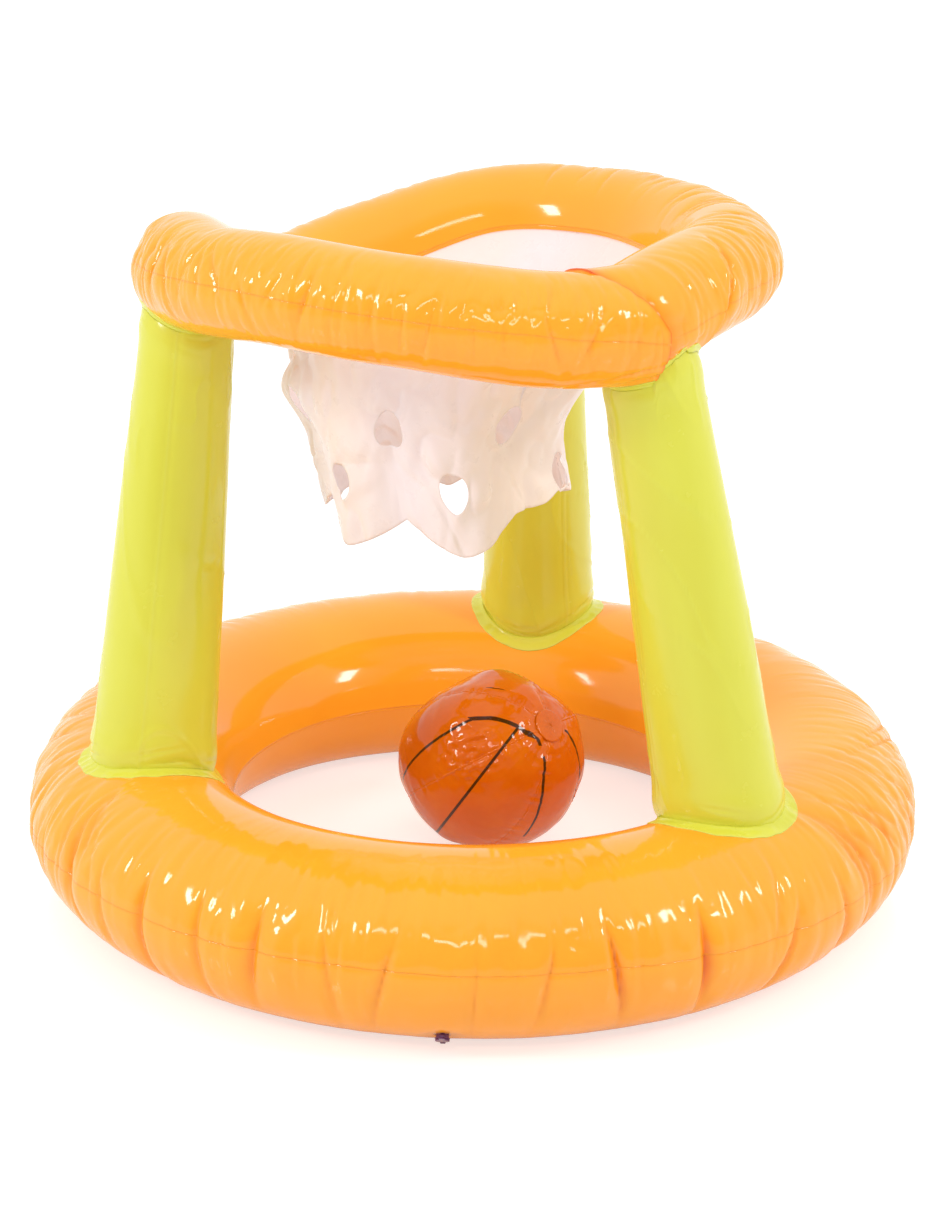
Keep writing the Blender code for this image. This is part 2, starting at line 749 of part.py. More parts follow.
lower_sheets = build_rings()
ring_blanks = {
    "base": (base_blank(FIT_GAP), base_blank(FIT_GAP + WELD_FILM)),
    "hoop": (hoop_blank(FIT_GAP), hoop_blank(FIT_GAP + WELD_FILM)),
}
for names in zip(LEG_NAMES, LEG_FOOT_ANGLES, LEG_TOP_ANGLES):
    build_leg(Leg(*names), ring_blanks, lower_sheets["hoop"])
build_net()
boolean(
    lower_sheets["base"],
    "DIFFERENCE",
    build_valve("base", base_valve_seat(), VALVE_FLANGE_DIAMETER),
)
boolean(
    lower_sheets["hoop"],
    "DIFFERENCE",
    build_valve("hoop", hoop_valve_seat(), VALVE_FLANGE_DIAMETER),
)
build_ball()
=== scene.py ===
"""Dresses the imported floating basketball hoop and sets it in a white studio.

Every form is a surface of two parameters worked out with numpy, in the frame's metres. The
two rings are tubes of film carried along a centreline, with creases and pleats pressed into
them. The legs are cones that end on the rings' film, the net is a hanging sheet with round
holes, the ball is six gores of film, and the valves are turned mouldings. The rings'
centrelines repeat the sizes of part.py.
"""

import json
import logging
import math
from dataclasses import dataclass, field
from enum import Enum
from typing import Optional, Sequence

import bpy
import numpy as np
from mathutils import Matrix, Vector


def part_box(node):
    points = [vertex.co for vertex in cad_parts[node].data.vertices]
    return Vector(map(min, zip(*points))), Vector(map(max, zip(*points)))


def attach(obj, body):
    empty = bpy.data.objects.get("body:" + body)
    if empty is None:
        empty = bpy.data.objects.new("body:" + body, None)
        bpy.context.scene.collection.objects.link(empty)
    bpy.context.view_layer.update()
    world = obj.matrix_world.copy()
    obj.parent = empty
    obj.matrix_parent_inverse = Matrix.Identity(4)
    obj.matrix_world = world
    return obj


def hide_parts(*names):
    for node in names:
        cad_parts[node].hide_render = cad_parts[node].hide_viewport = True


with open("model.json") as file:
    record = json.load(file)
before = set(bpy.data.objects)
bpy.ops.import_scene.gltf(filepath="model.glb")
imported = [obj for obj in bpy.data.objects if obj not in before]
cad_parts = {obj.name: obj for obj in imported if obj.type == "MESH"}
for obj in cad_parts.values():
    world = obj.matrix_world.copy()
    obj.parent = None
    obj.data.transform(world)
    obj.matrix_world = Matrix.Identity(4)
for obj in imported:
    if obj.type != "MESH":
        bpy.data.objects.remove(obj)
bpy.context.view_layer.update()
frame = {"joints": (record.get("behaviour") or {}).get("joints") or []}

TURN = 2 * math.pi
FILM = 0.0004
MILLIMETRE = 0.001
TINY = 1e-6
WHITE = (1.0, 1.0, 1.0)
ROUND_STEPS = 20001
ARC_STEPS = 4001
Array = np.ndarray
Arrays = tuple[Array, ...]
Pair = tuple[float, float]
Triple = tuple[float, float, float]
Lattices = tuple[tuple[int, int, int], ...]
Material = bpy.types.Material
Piece = bpy.types.Object
Socket = bpy.types.NodeSocket

logging.basicConfig(level=logging.INFO, format="%(levelname)s %(message)s")
log = logging.getLogger("hoop")


class Half(Enum):
    """One of a ring's two sheets of film."""

    UPPER = "upper"
    LOWER = "lower"


class Wrap(Enum):
    """How a grid of points closes: round its rows, round both its sides, or not at all."""

    OPEN = (False, False)
    ROUND = (True, False)
    TORUS = (True, True)


def wrapped(angle: Array) -> Array:
    """Angles brought into the half turn on either side of zero."""
    return (angle + math.pi) % TURN - math.pi


def unit(vectors: Array) -> Array:
    """Vectors brought to length 1 along the last axis."""
    return vectors / np.linalg.norm(vectors, axis=-1, keepdims=True)


def eased(share: Array) -> Array:
    """The S-curve 3x^2 - 2x^3 of a share held between 0 and 1."""
    share = np.clip(share, 0, 1)
    return share * share * (3 - 2 * share)


def bump(angle: Array, centre: float, half: float) -> Array:
    """A soft hill (1 - x^2)^1.5 where x is the distance from the centre over the half width."""
    distance = np.abs(wrapped(angle - centre)) / half
    return np.clip(1 - distance * distance, 0, None) ** 1.5


def hill(angle: Array, degrees: Pair) -> Array:
    """The soft hill of bump, with its centre and half width in degrees."""
    return bump(angle, math.radians(degrees[0]), math.radians(degrees[1]))


def blended(angle: Array, degrees: Triple) -> Array:
    """1 near a middle, fading by an S-curve inside a half width: all three in degrees."""
    middle, half, fade = (math.radians(value) for value in degrees)
    return eased((half - np.abs(wrapped(angle - middle))) / fade)


def fading(distance: Array, form: Pair) -> Array:
    """height e^(-s/w) at distances s from a line, of a form's height and width w."""
    return form[0] * np.exp(-distance / form[1])


def rounded(distance: Array, form: Pair) -> Array:
    """height e^(-(s/w)^2) at distances s from a line, of a form's height and width w."""
    return form[0] * np.exp(-((distance / form[1]) ** 2))


def spaced(count: int, first: float, last: float, density: Array, closed: bool) -> Array:
    """Numbers from first to last, closer together where the density is higher.

    They are the even shares of the density's running sum, read back as numbers.

    Args:
        count: How many numbers.
        first: The first number.
        last: The last number, which is left out of a closed round.
        density: The density at even steps from first to last.
        closed: Whether the last number is the first again.

    Returns:
        The numbers, rising.
    """
    places = np.linspace(first, last, len(density))
    total = np.concatenate(([0], np.cumsum((density[1:] + density[:-1]) / 2)))
    shares = np.arange(count) / (count if closed else count - 1)
    return np.interp(shares, total / total[-1], places)


class Noise:
    """Smooth value noise on a closed lattice, from -1 to 1, the same on every run."""

    def __init__(self, seed: int, around: int, across: int) -> None:
        """Draws the lattice."""
        self.values = np.random.default_rng(seed).uniform(-1, 1, (around, across))

    def at(self, u: Array, v: Array) -> Array:
        """The noise at places, as lattice values mixed by S-curves.

        Args:
            u: Places round the lattice, repeating every 1.
            v: Places across it, repeating every 1.

        Returns:
            The noise, from -1 to 1.
        """
        around, across = self.values.shape
        x, y = (u % 1) * around, (v % 1) * across
        i, j = np.floor(x).astype(int), np.floor(y).astype(int)
        mix_x, mix_y = eased(x - i), eased(y - j)
        i, j = i % around, j % across
        i_next, j_next = (i + 1) % around, (j + 1) % across
        near = self.values[i, j] * (1 - mix_x) + self.values[i_next, j] * mix_x
        far = self.values[i, j_next] * (1 - mix_x) + self.values[i_next, j_next] * mix_x
        return near * (1 - mix_y) + far * mix_y


def noises(seed: int, lattices: Lattices) -> list[Noise]:
    """Noise on each of some lattices, given as a step from the seed and its cells."""
    return [Noise(seed + step, *cells) for step, *cells in lattices]


def grid_faces(rows: int, columns: int, wrap: Wrap) -> Array:
    """The four corners of each cell of a grid of points, as numbers of the points.

    Args:
        rows: How many rows of points.
        columns: How many points in a row.
        wrap: How the grid closes.

    Returns:
        One line of four point numbers for each cell.
    """
    index = np.arange(rows * columns).reshape(rows, columns)
    round_rows, round_columns = wrap.value
    if round_rows:
        index = np.vstack((index, index[:1]))
    if round_columns:
        index = np.hstack((index, index[:, :1]))
    corners = (index[:-1, :-1], index[1:, :-1], index[1:, 1:], index[:-1, 1:])
    return np.stack(corners, -1).reshape(-1, 4)


def volume(points: Array, faces: Array) -> float:
    """The signed volume inside closed faces: the sum of a . (b x c) / 6 over triangles.

    Args:
        points: One line of three coordinates for each point.
        faces: Four point numbers a face.

    Returns:
        The volume, above zero where the faces point outwards.
    """
    a, b, c, d = (points[faces[:, k]] for k in range(4))
    both = np.sum(a * np.cross(b, c), -1) + np.sum(a * np.cross(c, d), -1)
    return float(both.sum() / 6)


def new_piece(
    name: str, points: Array, faces: Array, material: Material,
    marks: Optional[dict[str, Array]] = None, closed: bool = True,
) -> Piece:
    """A smooth mesh object at the origin, from points and four-cornered faces.

    Args:
        name: The object's name.
        points: Points on any grid, in metres.
        faces: Four point numbers a face; a point that repeats makes a triangle.
        material: Its finish.
        marks: Values for each point that the finish reads, by name.
        closed: Whether the faces close, and are then turned to point outwards.

    Returns:
        The object.
    """
    points = points.reshape(-1, 3)
    if closed and volume(points, faces) < 0:
        faces = faces[:, ::-1]
    polygons = [face if len(set(face)) == 4 else list(dict.fromkeys(face)) for face in faces.tolist()]
    mesh = bpy.data.meshes.new(name)
    mesh.from_pydata(points.tolist(), [], polygons)
    mesh.shade_smooth()
    mesh.materials.append(material)
    for mark, values in (marks or {}).items():
        attribute = mesh.attributes.new(mark, "FLOAT", "POINT")
        attribute.data.foreach_set("value", values.ravel().astype(np.float32))
    piece = bpy.data.objects.new(name, mesh)
    bpy.context.scene.collection.objects.link(piece)
    return piece


def walled(piece: Piece, offset: float) -> bpy.types.Modifier:
    """Gives a sheet its wall.

    Args:
        piece: The sheet.
        offset: Where the wall goes: -1 for inside the sheet, 0 for both its sides.

    Returns:
        The Solidify modifier.
    """
    wall = piece.modifiers.new("wall", "SOLIDIFY")
    wall.thickness = FILM
    wall.offset = offset
    return wall


def installed(piece: Piece, body: str, slot: str, *nodes: str) -> Piece:
    """Rides a piece on its body, in place of CAD nodes, and reports it.

    Args:
        piece: The piece, in its place.
        body: The CAD body that carries it.
        slot: The record's material slot of its finish; not used.
        nodes: The CAD nodes that it stands for.

    Returns:
        The piece.
    """
    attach(piece, body)
    if nodes:
        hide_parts(*nodes)
    log.info("%s rides on %s: %d faces", piece.name, body, len(piece.data.polygons))
    return piece


@dataclass(frozen=True)
class Cloud:
    """Soft noise on Object coordinates, spread between two levels.

    Its scale is per metre. The levels are reached where the noise is at its two ends.
    """

    scale: float
    detail: float
    ends: Pair
    levels: Pair


@dataclass(frozen=True)
class Grain:
    """Noise pressed into a finish: its scale per metre, its depth in metres and its stretch."""

    scale: float
    detail: float
    depth: float
    strength: float
    stretch: Triple = (1.0, 1.0, 1.0)


class Graph:
    """A short way to wire a material's nodes."""

    noise_roughness: float = 0.6

    def __init__(self, name: str) -> None:
        """Makes a new material with its Principled shader.

        Args:
            name: The material's name.
        """
        self.material = bpy.data.materials.new(name)
        self.material.use_nodes = True
        self.tree = self.material.node_tree
        self.shader = self.tree.nodes["Principled BSDF"]

    def add(self, kind: str, sockets: Optional[dict] = None, **settings: object) -> bpy.types.Node:
        """A new node.

        Args:
            kind: The node's type.
            sockets: Values or links for its inputs, by name or number.
            settings: Values for its properties.

        Returns:
            The node.
        """
        node = self.tree.nodes.new(kind)
        for key, value in settings.items():
            setattr(node, key, value)
        for key, value in (sockets or {}).items():
            self.put(node.inputs[key], value)
        return node

    def put(self, socket: Socket, value: object) -> None:
        """Fills a socket.

        Args:
            socket: The socket.
            value: Another socket to link to it, or its value.
        """
        if isinstance(value, Socket):
            self.tree.links.new(value, socket)
        else:
            socket.default_value = value

    def math(self, operation: str, *values: object) -> Socket:
        """The result of a Math node on values or links."""
        node = self.add("ShaderNodeMath", dict(enumerate(values)), operation=operation)
        return node.outputs[0]

    def noise(
        self, scale: float, detail: float, stretch: Sequence[float] = (1, 1, 1)
    ) -> Socket:
        """Noise on Object coordinates.

        Args:
            scale: Its scale per metre.
            detail: How many finer layers it has.
            stretch: The scale along each axis.

        Returns:
            The noise's factor.
        """
        place = self.add("ShaderNodeTexCoord").outputs["Object"]
        mapped = self.add("ShaderNodeMapping", {"Vector": place, "Scale": stretch})
        sockets = {
            "Vector": mapped.outputs[0], "Scale": scale, "Detail": detail,
            "Roughness": self.noise_roughness,
        }
        return self.add("ShaderNodeTexNoise", sockets).outputs["Fac"]

    def ranged(self, value: object, ends: Pair, levels: Pair) -> Socket:
        """A value carried from the range between two ends to the one between two levels."""
        sockets = dict(enumerate((value, *ends, *levels)))
        return self.add("ShaderNodeMapRange", sockets).outputs[0]

    def cloud(self, cloud: Cloud) -> Socket:
        """A cloud's value."""
        return self.ranged(self.noise(cloud.scale, cloud.detail), cloud.ends, cloud.levels)

    def mix(self, share: object, first: object, second: object) -> Socket:
        """Two colours mixed.

        Args:
            share: How much of the second there is, from 0 to 1.
            first: The first colour or link.
            second: The second one.

        Returns:
            The mixed colour.
        """
        node = self.add("ShaderNodeMix", {0: share}, data_type="RGBA")
        self.put(node.inputs[6], first)
        self.put(node.inputs[7], second)
        return node.outputs[2]

    def dress(
        self, tint: object, haze: object, grain: Optional[Grain] = None, **sockets: object
    ) -> Material:
        """Fills the shader's sockets.

        Args:
            tint: Its colour or link.
            haze: Its roughness or link.
            grain: What is pressed into its normal.
            sockets: Its other values or links, with underscores for the spaces in names.

        Returns:
            The material.
        """
        for key, value in {"Base_Color": tint, "Roughness": haze, **sockets}.items():
            self.put(self.shader.inputs[key.replace("_", " ")], value)
        if grain:
            height = self.noise(grain.scale, grain.detail, grain.stretch)
            pressed = {"Height": height, "Strength": grain.strength, "Distance": grain.depth}
            node = self.add("ShaderNodeBump", pressed)
            self.put(self.shader.inputs["Normal"], node.outputs[0])
        return self.material

    def mark(self, name: str) -> Socket:
        """The value of a point attribute."""
        return self.add("ShaderNodeAttribute", attribute_name=name).outputs["Fac"]


def opaque(colour: Sequence[float]) -> tuple[float, ...]:
    """A colour with full alpha."""
    return (*colour, 1.0)


@dataclass(frozen=True)
class VinylFilm:
    """Glossy tinted film: paler on its welds, with a fine crinkle, and with painted shade in its
    folds, where the fold mark mixes in the darker crease shade colour.

    Its faint glow is painted light: it stands for the light that comes through the film from
    inside the tube.
    """

    name: str
    colour: Triple
    # painted shade: the darker colour that the film's creases are mixed towards
    crease_shade_colour: Triple
    weld_colour: Triple
    haze: Cloud = Cloud(34, 4, (0.35, 0.68), (0.06, 0.13))
    drift: Cloud = Cloud(9, 3, (0.3, 0.7), (0.0, 0.12))
    crinkle: Grain = Grain(150, 5, 0.0003, 0.10)
    specular: float = 0.5
    # painted light: an emission that stands for light coming through the film
    painted_glow: float = 0.06

    def material(self) -> Material:
        """Wires the finish, which reads the marks fold, its painted crease shade, and weld.

        Returns:
            The material.
        """
        graph = Graph(self.name)
        # painted shade in the creases from the fold mark, with a random darker tone from the drift
        fold = graph.math("MAXIMUM", graph.mark("fold"), graph.cloud(self.drift))
        body = graph.mix(fold, opaque(self.colour), opaque(self.crease_shade_colour))
        tint = graph.mix(graph.mark("weld"), body, opaque(self.weld_colour))
        return graph.dress(
            tint, graph.cloud(self.haze), self.crinkle, Emission_Color=body,
            Specular_IOR_Level=self.specular, Emission_Strength=self.painted_glow,
        )


@dataclass(frozen=True)
class MilkyFilm:
    """The net's thin film: milky, half clear, and crinkled, with a faint painted glow that lifts its
    shaded parts.
    """

    name: str
    colour: Triple
    sheer_colour: Triple
    alpha: float
    haze: Cloud = Cloud(60, 4, (0.3, 0.7), (0.22, 0.42))
    crinkle: Grain = Grain(200, 5, 0.0004, 0.16, (1.0, 1.0, 0.35))
    specular: float = 0.35
    painted_glow: float = 0.10

    def material(self) -> Material:
        """Wires the finish, which reads the mark sheer.

        Returns:
            The material.
        """
        graph = Graph(self.name)
        tint = graph.mix(graph.mark("sheer"), opaque(self.colour), opaque(self.sheer_colour))
        # painted light: the emission lifts the film's shaded parts
        return graph.dress(
            tint, graph.cloud(self.haze), self.crinkle, Emission_Color=tint, Alpha=self.alpha,
            Specular_IOR_Level=self.specular, Emission_Strength=self.painted_glow,
        )


@dataclass(frozen=True)
class MouldedVinyl:
    """Soft moulded vinyl of the valves: glossy, a little cloudy, with a slight grain."""

    name: str
    colour: Triple
    cloud_colour: Triple
    clouding: Cloud = Cloud(420, 4, (0.35, 0.7), (0.0, 0.8))
    grain: Grain = Grain(1500, 3, 0.0001, 0.15)
    roughness: float = 0.22
    specular: float = 0.55
    coat: float = 0.3

    def material(self) -> Material:
        """Wires the finish.

        Returns:
            The material.
        """
        graph = Graph(self.name)
        clouding = graph.cloud(self.clouding)
        tint = graph.mix(clouding, opaque(self.colour), opaque(self.cloud_colour))
        return graph.dress(
            tint, self.roughness, self.grain,
            Specular_IOR_Level=self.specular, Coat_Weight=self.coat,
        )


@dataclass(frozen=True)
class PleatRanges:
    """The ranges that a run of creases is drawn from, in the units of Crease."""

    width: Pair
    centre: Pair
    half: Pair
    drift: Pair
    depth: Optional[Pair] = None

    def drawn(self, draw: np.random.Generator) -> dict[str, float]:
        """One crease's values, in the order depth, width, centre, half and drift.

        Args:
            draw: The random generator.

        Returns:
            The values by name, without a depth where there is no range for it.
        """
        values = {} if self.depth is None else {"depth": draw.uniform(*self.depth)}
        for name in ("width", "centre", "half", "drift"):
            values[name] = draw.uniform(*getattr(self, name))
        return values


@dataclass(frozen=True)
class Crease:
    """One crease, or a ridge where its depth is negative.

    Its angle is where it crosses the outer seam, in degrees round the ring. Depth and width
    are in metres. Centre and half are the middle and half the length of its run, in degrees
    round the section. Drift is how far it leans, in radians round the ring per radian of
    the section, and pull how far its top is drawn to one side, in radians.
    """

    angle: float
    depth: float
    width: float
    centre: float
    half: float
    drift: float
    pull: float = 0.0


@dataclass
class Creases:
    """Creases that cross a ring's section, each a V pressed into the film.

    A crease's depth is d * (a e^(-s/w) + b e^(-s/cw)) * hill(p), where s is the distance
    from it round the ring, w its width, a the sharp share, b the wide share and c how much
    wider that part is. The pull grows as (p over a quarter turn)^power.
    """

    reach: float
    lines: list[Crease] = field(default_factory=list)
    fan_pull_shares: Pair = (0.8, 1.15)
    fan_scatter: float = 0.7
    sharp_share: float = 0.55
    wide_share: float = 0.45
    wider: float = 3.2
    pull_power: float = 1.5
    pull_limit: float = 1.2

    def add(self, *values: float, **named: float) -> None:
        """Adds one crease, of the values of Crease."""
        self.lines.append(Crease(*values, **named))

    def fan(self, seed: int, foot: float, offsets: Sequence[float], depth: float, pull: float) -> None:
        """Adds pleats that run from a leg's foot over the shoulder to the seam.

        Args:
            seed: The seed of their random depths and lengths.
            foot: The leg's angle round the ring, in degrees.
            offsets: Where they cross the seam, in degrees from the foot.
            depth: Their mean depth in metres.
            pull: The share of their offset that they lose by the top of the section.
        """
        draw = np.random.default_rng(seed)
        for offset in offsets:
            angle = foot + offset + draw.uniform(-self.fan_scatter, self.fan_scatter)
            values = FAN_PLEATS.drawn(draw)
            values["depth"] *= depth
            drawn_pull = -math.radians(offset) * pull * draw.uniform(*self.fan_pull_shares)
            self.add(angle, pull=drawn_pull, **values)

    def depth(self, theta: Array, phi: Array) -> Array:
        """How deep the creases are.

        Args:
            theta: Angles round the ring.
            phi: Angles round its section.

        Returns:
            The depth in metres, below zero on a ridge.
        """
        total = np.zeros(np.broadcast(theta, phi).shape)
        above = np.clip(phi, 0, None) / (math.pi / 2)
        below_top = np.clip(above, 0, self.pull_limit) ** self.pull_power
        for line in self.lines:
            middle = math.radians(line.angle) + line.drift * phi + line.pull * below_top
            near = np.abs(self.reach * wrapped(theta - middle)) / line.width
            shape = self.sharp_share * np.exp(-near) + self.wide_share * np.exp(-near / self.wider)
            total += line.depth * shape * hill(phi, (line.centre, line.half))
        return total

    def density(self, theta: Array, spread: float) -> Array:
        """How many creases are near angles round the ring, fading out over a spread."""
        near = wrapped(theta[:, None] - np.radians([line.angle for line in self.lines])) / spread
        return np.exp(-near * near).sum(1)


@dataclass
class Seat:
    """Where a valve sits: its middle on the film, and its X, Y and outward Z, in metres."""

    centre: Array
    x: Array
    y: Array
    z: Array
    tab_length: float = 0.010
    tab_height: float = 0.003
    flap_depth: float = 0.0075
    flat_radius: float = 0.0085
    clear_radius: float = 0.019
    stem_radius: float = 0.0045
    near_height: float = 0.02
    drop: float = 0.008
    drop_edge: float = 0.0009

    @classmethod
    def of(cls, owner: str) -> "Seat":
        """Reads a valve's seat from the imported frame.

        The stopper's hinge is at tab_length along Y and tab_height along Z, and the flap's
        middle at flap_depth under the seat, so the vector between them gives Y and Z.

        Args:
            owner: The valve's owner: base, hoop or ball.

        Returns:
            The seat.
        """
        hinge = next(j for j in frame["joints"] if j["name"] == f"{owner}_stopper_hinge")
        low, high = (np.array(corner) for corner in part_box(f"{owner}_valve_flap"))
        x = -unit(np.array(hinge["axis"], float))
        along, up = cls.tab_length, cls.tab_height + cls.flap_depth
        span = np.array(hinge["pos_m"]) - (low + high) / 2
        across = np.cross(x, span)
        y = unit(along * span - up * across)
        z = unit(np.cross(x, y))
        centre = np.array(hinge["pos_m"]) - cls.tab_length * y - cls.tab_height * z
        return cls(centre, x, y, z)

    def settled(self, points: Array) -> Array:
        """Film brought onto the seat's plane near it, and turned in round the valve's stem.

        Each point moves by its height over the plane, times an S-curve of its distance from
        the middle, and within the stem's radius it drops further.

        Args:
            points: Points of the film.

        Returns:
            The moved points.
        """
        offset = points - self.centre
        height = offset @ self.z
        distance = np.linalg.norm(offset - height[..., None] * self.z, axis=-1)
        near = (np.abs(height) < self.near_height) & (distance < self.clear_radius)
        share = eased((self.clear_radius - distance) / (self.clear_radius - self.flat_radius))
        share = np.where(near, share, 0)
        inside = eased((self.stem_radius - distance) / self.drop_edge)
        drop = np.where(near, self.drop * inside, 0)
        return points - (share * height + drop)[..., None] * self.z


@dataclass(frozen=True)
class FilmRelief:
    """How a ring's film stands out of the plain tube, in metres.

    Hills are given as the middle and the half width of their stretch of the section, in
    degrees. Lattices are those of the pleats, the small pleats, the ripples, the wobble, the
    swell and the patches, each a step of the seed and the cells round and across.
    """

    outside: Pair = (18.0, 88.0)
    shoulder: Pair = (38.0, 40.0)
    lattices: Lattices = (
        (0, 120, 7), (1, 260, 11), (2, 420, 16), (4, 40, 5), (5, 14, 3), (6, 60, 9),
    )
    wobble_turns: float = 0.0015
    swell: float = 0.0010
    pleat: float = 0.0018
    small_pleat: float = 0.0011
    small_pleat_offset: float = 0.37
    pleat_power: float = 0.8
    pleat_level: float = 0.35
    ripple: float = 0.00025
    patch_ripple: float = 0.00060
    patch_level: float = 0.55
    patch_gain: float = 1.2
    weld_line: Pair = (0.0006, 0.0008)
    groove: Pair = (0.0009, 0.003)
    inner_weld: Pair = (0.0020, 0.007)
    # the crease depth that gets the full painted shade, and the power that holds it back where shallow
    shaded_depth: float = 0.0080
    shaded_power: float = 1.5
    weld_mark_width: float = 0.0009


@dataclass(frozen=True)
class FilmGrid:
    """How a ring's grid of points is spread, and how its two seams lap, in metres.

    Points stand closer on the outside of the section, at the seams and at the creases.
    """

    lap: float = 0.005
    lap_shares: Pair = (0.4, 1.0)
    wall: float = 0.0012
    inner_rows: int = 12
    inner_margin: float = 0.09
    least_weight: float = 0.30
    outside: Pair = (12.0, 85.0)
    seam_weight: Pair = (1.6, 0.05)
    crease_weight: float = 0.5
    crease_spread: float = 0.008


@dataclass
class FilmRing:
    """A ring of two sheets of film welded along the outer and the inner seam.

    A point at angle t round the ring and p round its section is
    C(t) + A cos p * m(t) * O(t) + B sin p * U(t) + d(t, p) * N, where C is the centreline,
    O points outwards, U upwards, m widens the section on a mitre, N is the section's normal
    and d the film's rise. The outer seam is at p = 0 and the top at a quarter turn.
    """

    name: str
    half_width: float
    half_height: float
    creases: Creases
    columns: dict[Half, int]
    rows: dict[Half, int]
    seats: list[Seat] = field(default_factory=list)
    seam_turns: tuple[Pair, ...] = ((0.0, 0.0),)
    relief: FilmRelief = FilmRelief()
    grid: FilmGrid = FilmGrid()
    turn_fade: Pair = (0.0, 75.0)
    seed: int = 1

    def __post_init__(self) -> None:
        """Draws the ring's noise."""
        self.pleats, self.small_pleats, self.ripples, *rest = noises(self.seed, self.relief.lattices)
        self.wobble, self.swell, self.patches = rest

    def stations(self, theta: Array) -> Arrays:
        """The centreline's points, outward and upward directions, and the mitre's widening."""
        raise NotImplementedError

    def locate(self, points: Array) -> Arrays:
        """The angle round the ring of points, and how far out and up they are from it."""
        raise NotImplementedError

    def rise(self, theta: Array, phi: Array) -> Array:
        """The film's rise over the plain oval tube.

        It is minus the creases' depth, plus a slow swell, two sizes of pleat on the outside,
        each depth * (|noise|^power - level), ripples on the shoulder that are stronger in
        patches, a line e^(-s/w) in a groove at the outer seam, and a ridge at the inner one.

        Args:
            theta: Angles round the ring.
            phi: Angles round its section.

        Returns:
            The rise in metres, along the section's normal.
        """
        phi, size = wrapped(phi), self.relief
        u, v = theta / TURN, phi / TURN
        u = u + size.wobble_turns * self.wobble.at(u, v)
        outside, shoulder = hill(phi, size.outside), hill(phi, size.shoulder)
        seam = np.abs(phi) * self.half_width
        inner_seam = np.abs(wrapped(phi - math.pi)) * self.half_width
        rise = -self.creases.depth(theta, phi)
        rise += size.swell * self.swell.at(u, v)
        pleats = np.abs(self.pleats.at(u, v)) ** size.pleat_power - size.pleat_level
        rise += size.pleat * outside * pleats
        pleats = np.abs(self.small_pleats.at(u, v + size.small_pleat_offset)) ** size.pleat_power
        rise += size.small_pleat * outside * (pleats - size.pleat_level)
        creased = eased(size.patch_level + size.patch_gain * self.patches.at(u, v))
        rise += (size.ripple + size.patch_ripple * creased) * shoulder * self.ripples.at(u, v)
        rise += fading(seam, size.weld_line) - fading(seam, size.groove)
        rise += fading(inner_seam, size.inner_weld)
        return rise

    def shift(self, theta: Array, phi: Array) -> Array:
        """How far the film is pushed along the ring, in metres."""
        return np.zeros(np.broadcast(theta, phi).shape)

    def shaded(self, theta: Array, phi: Array) -> Array:
        """How strongly shade is painted into a crease: its depth, from 0 to 1, held back where it is
        shallow.
        """
        share = self.creases.depth(theta, phi) / self.relief.shaded_depth
        return np.clip(share, 0, 1) ** self.relief.shaded_power

    def turned(self, theta: Array, phi: Array) -> Array:
        """Section angles with the outer seam turned up where the ring is twisted.

        The turn is read between the ring's seam_turns, and fades out away from the seam.

        Args:
            theta: Angles round the ring.
            phi: Angles round its section.

        Returns:
            The turned angles round its section.
        """
        angles, turns = zip(*self.seam_turns)
        turn = np.interp(theta, np.radians(angles), turns, period=TURN)
        return phi + turn * hill(phi, self.turn_fade)

    def slanted(self, theta: Array, phi: Array) -> Array:
        """The grid's angles round the ring, where its columns lean to follow a fold."""
        return theta + np.zeros_like(phi)

    def points(self, theta: Array, phi: Array, inset: float = 0.0) -> Array:
        """Points of the film, by the formula of the class.

        Args:
            theta: Angles round the ring.
            phi: Angles round its section.
            inset: How far inside the film they lie, in metres.

        Returns:
            The points.
        """
        theta, phi = np.broadcast_arrays(theta, phi)
        centre, outwards, upwards, mitre = self.stations(theta)
        along = np.cross(upwards, outwards)
        rise = self.rise(theta, phi) - inset
        shift = self.shift(theta, phi)
        phi = self.turned(theta, phi)
        normal_out = np.cos(phi) / self.half_width
        normal_up = np.sin(phi) / self.half_height
        length = np.hypot(normal_out, normal_up)
        across = self.half_width * np.cos(phi) + rise * normal_out / length
        up = self.half_height * np.sin(phi) + rise * normal_up / length
        return (
            centre
            + (across * mitre)[..., None] * outwards
            + up[..., None] * upwards
            + shift[..., None] * along
        )

    def height(self, points: Array) -> Array:
        """How far points are outside the film, about.

        Args:
            points: The points.

        Returns:
            The distances in metres, below zero inside the film.
        """
        theta, across, up = self.locate(points)
        phi = np.arctan2(up / self.half_height, across / self.half_width)
        ratio = np.hypot(across / self.half_width, up / self.half_height)
        size = np.hypot(self.half_width * np.cos(phi), self.half_height * np.sin(phi))
        return (ratio - 1) * size - self.rise(theta, phi)

    def settle(self, points: Array) -> Array:
        """Points brought onto what the ring rests on and onto its valves' seats."""
        for seat in self.seats:
            points = seat.settled(points)
        return points

    def theta_density(self, theta: Array) -> Array:
        """How closely the columns of points stand round the ring."""
        return 1 + self.grid.crease_weight * self.creases.density(theta, self.grid.crease_spread)

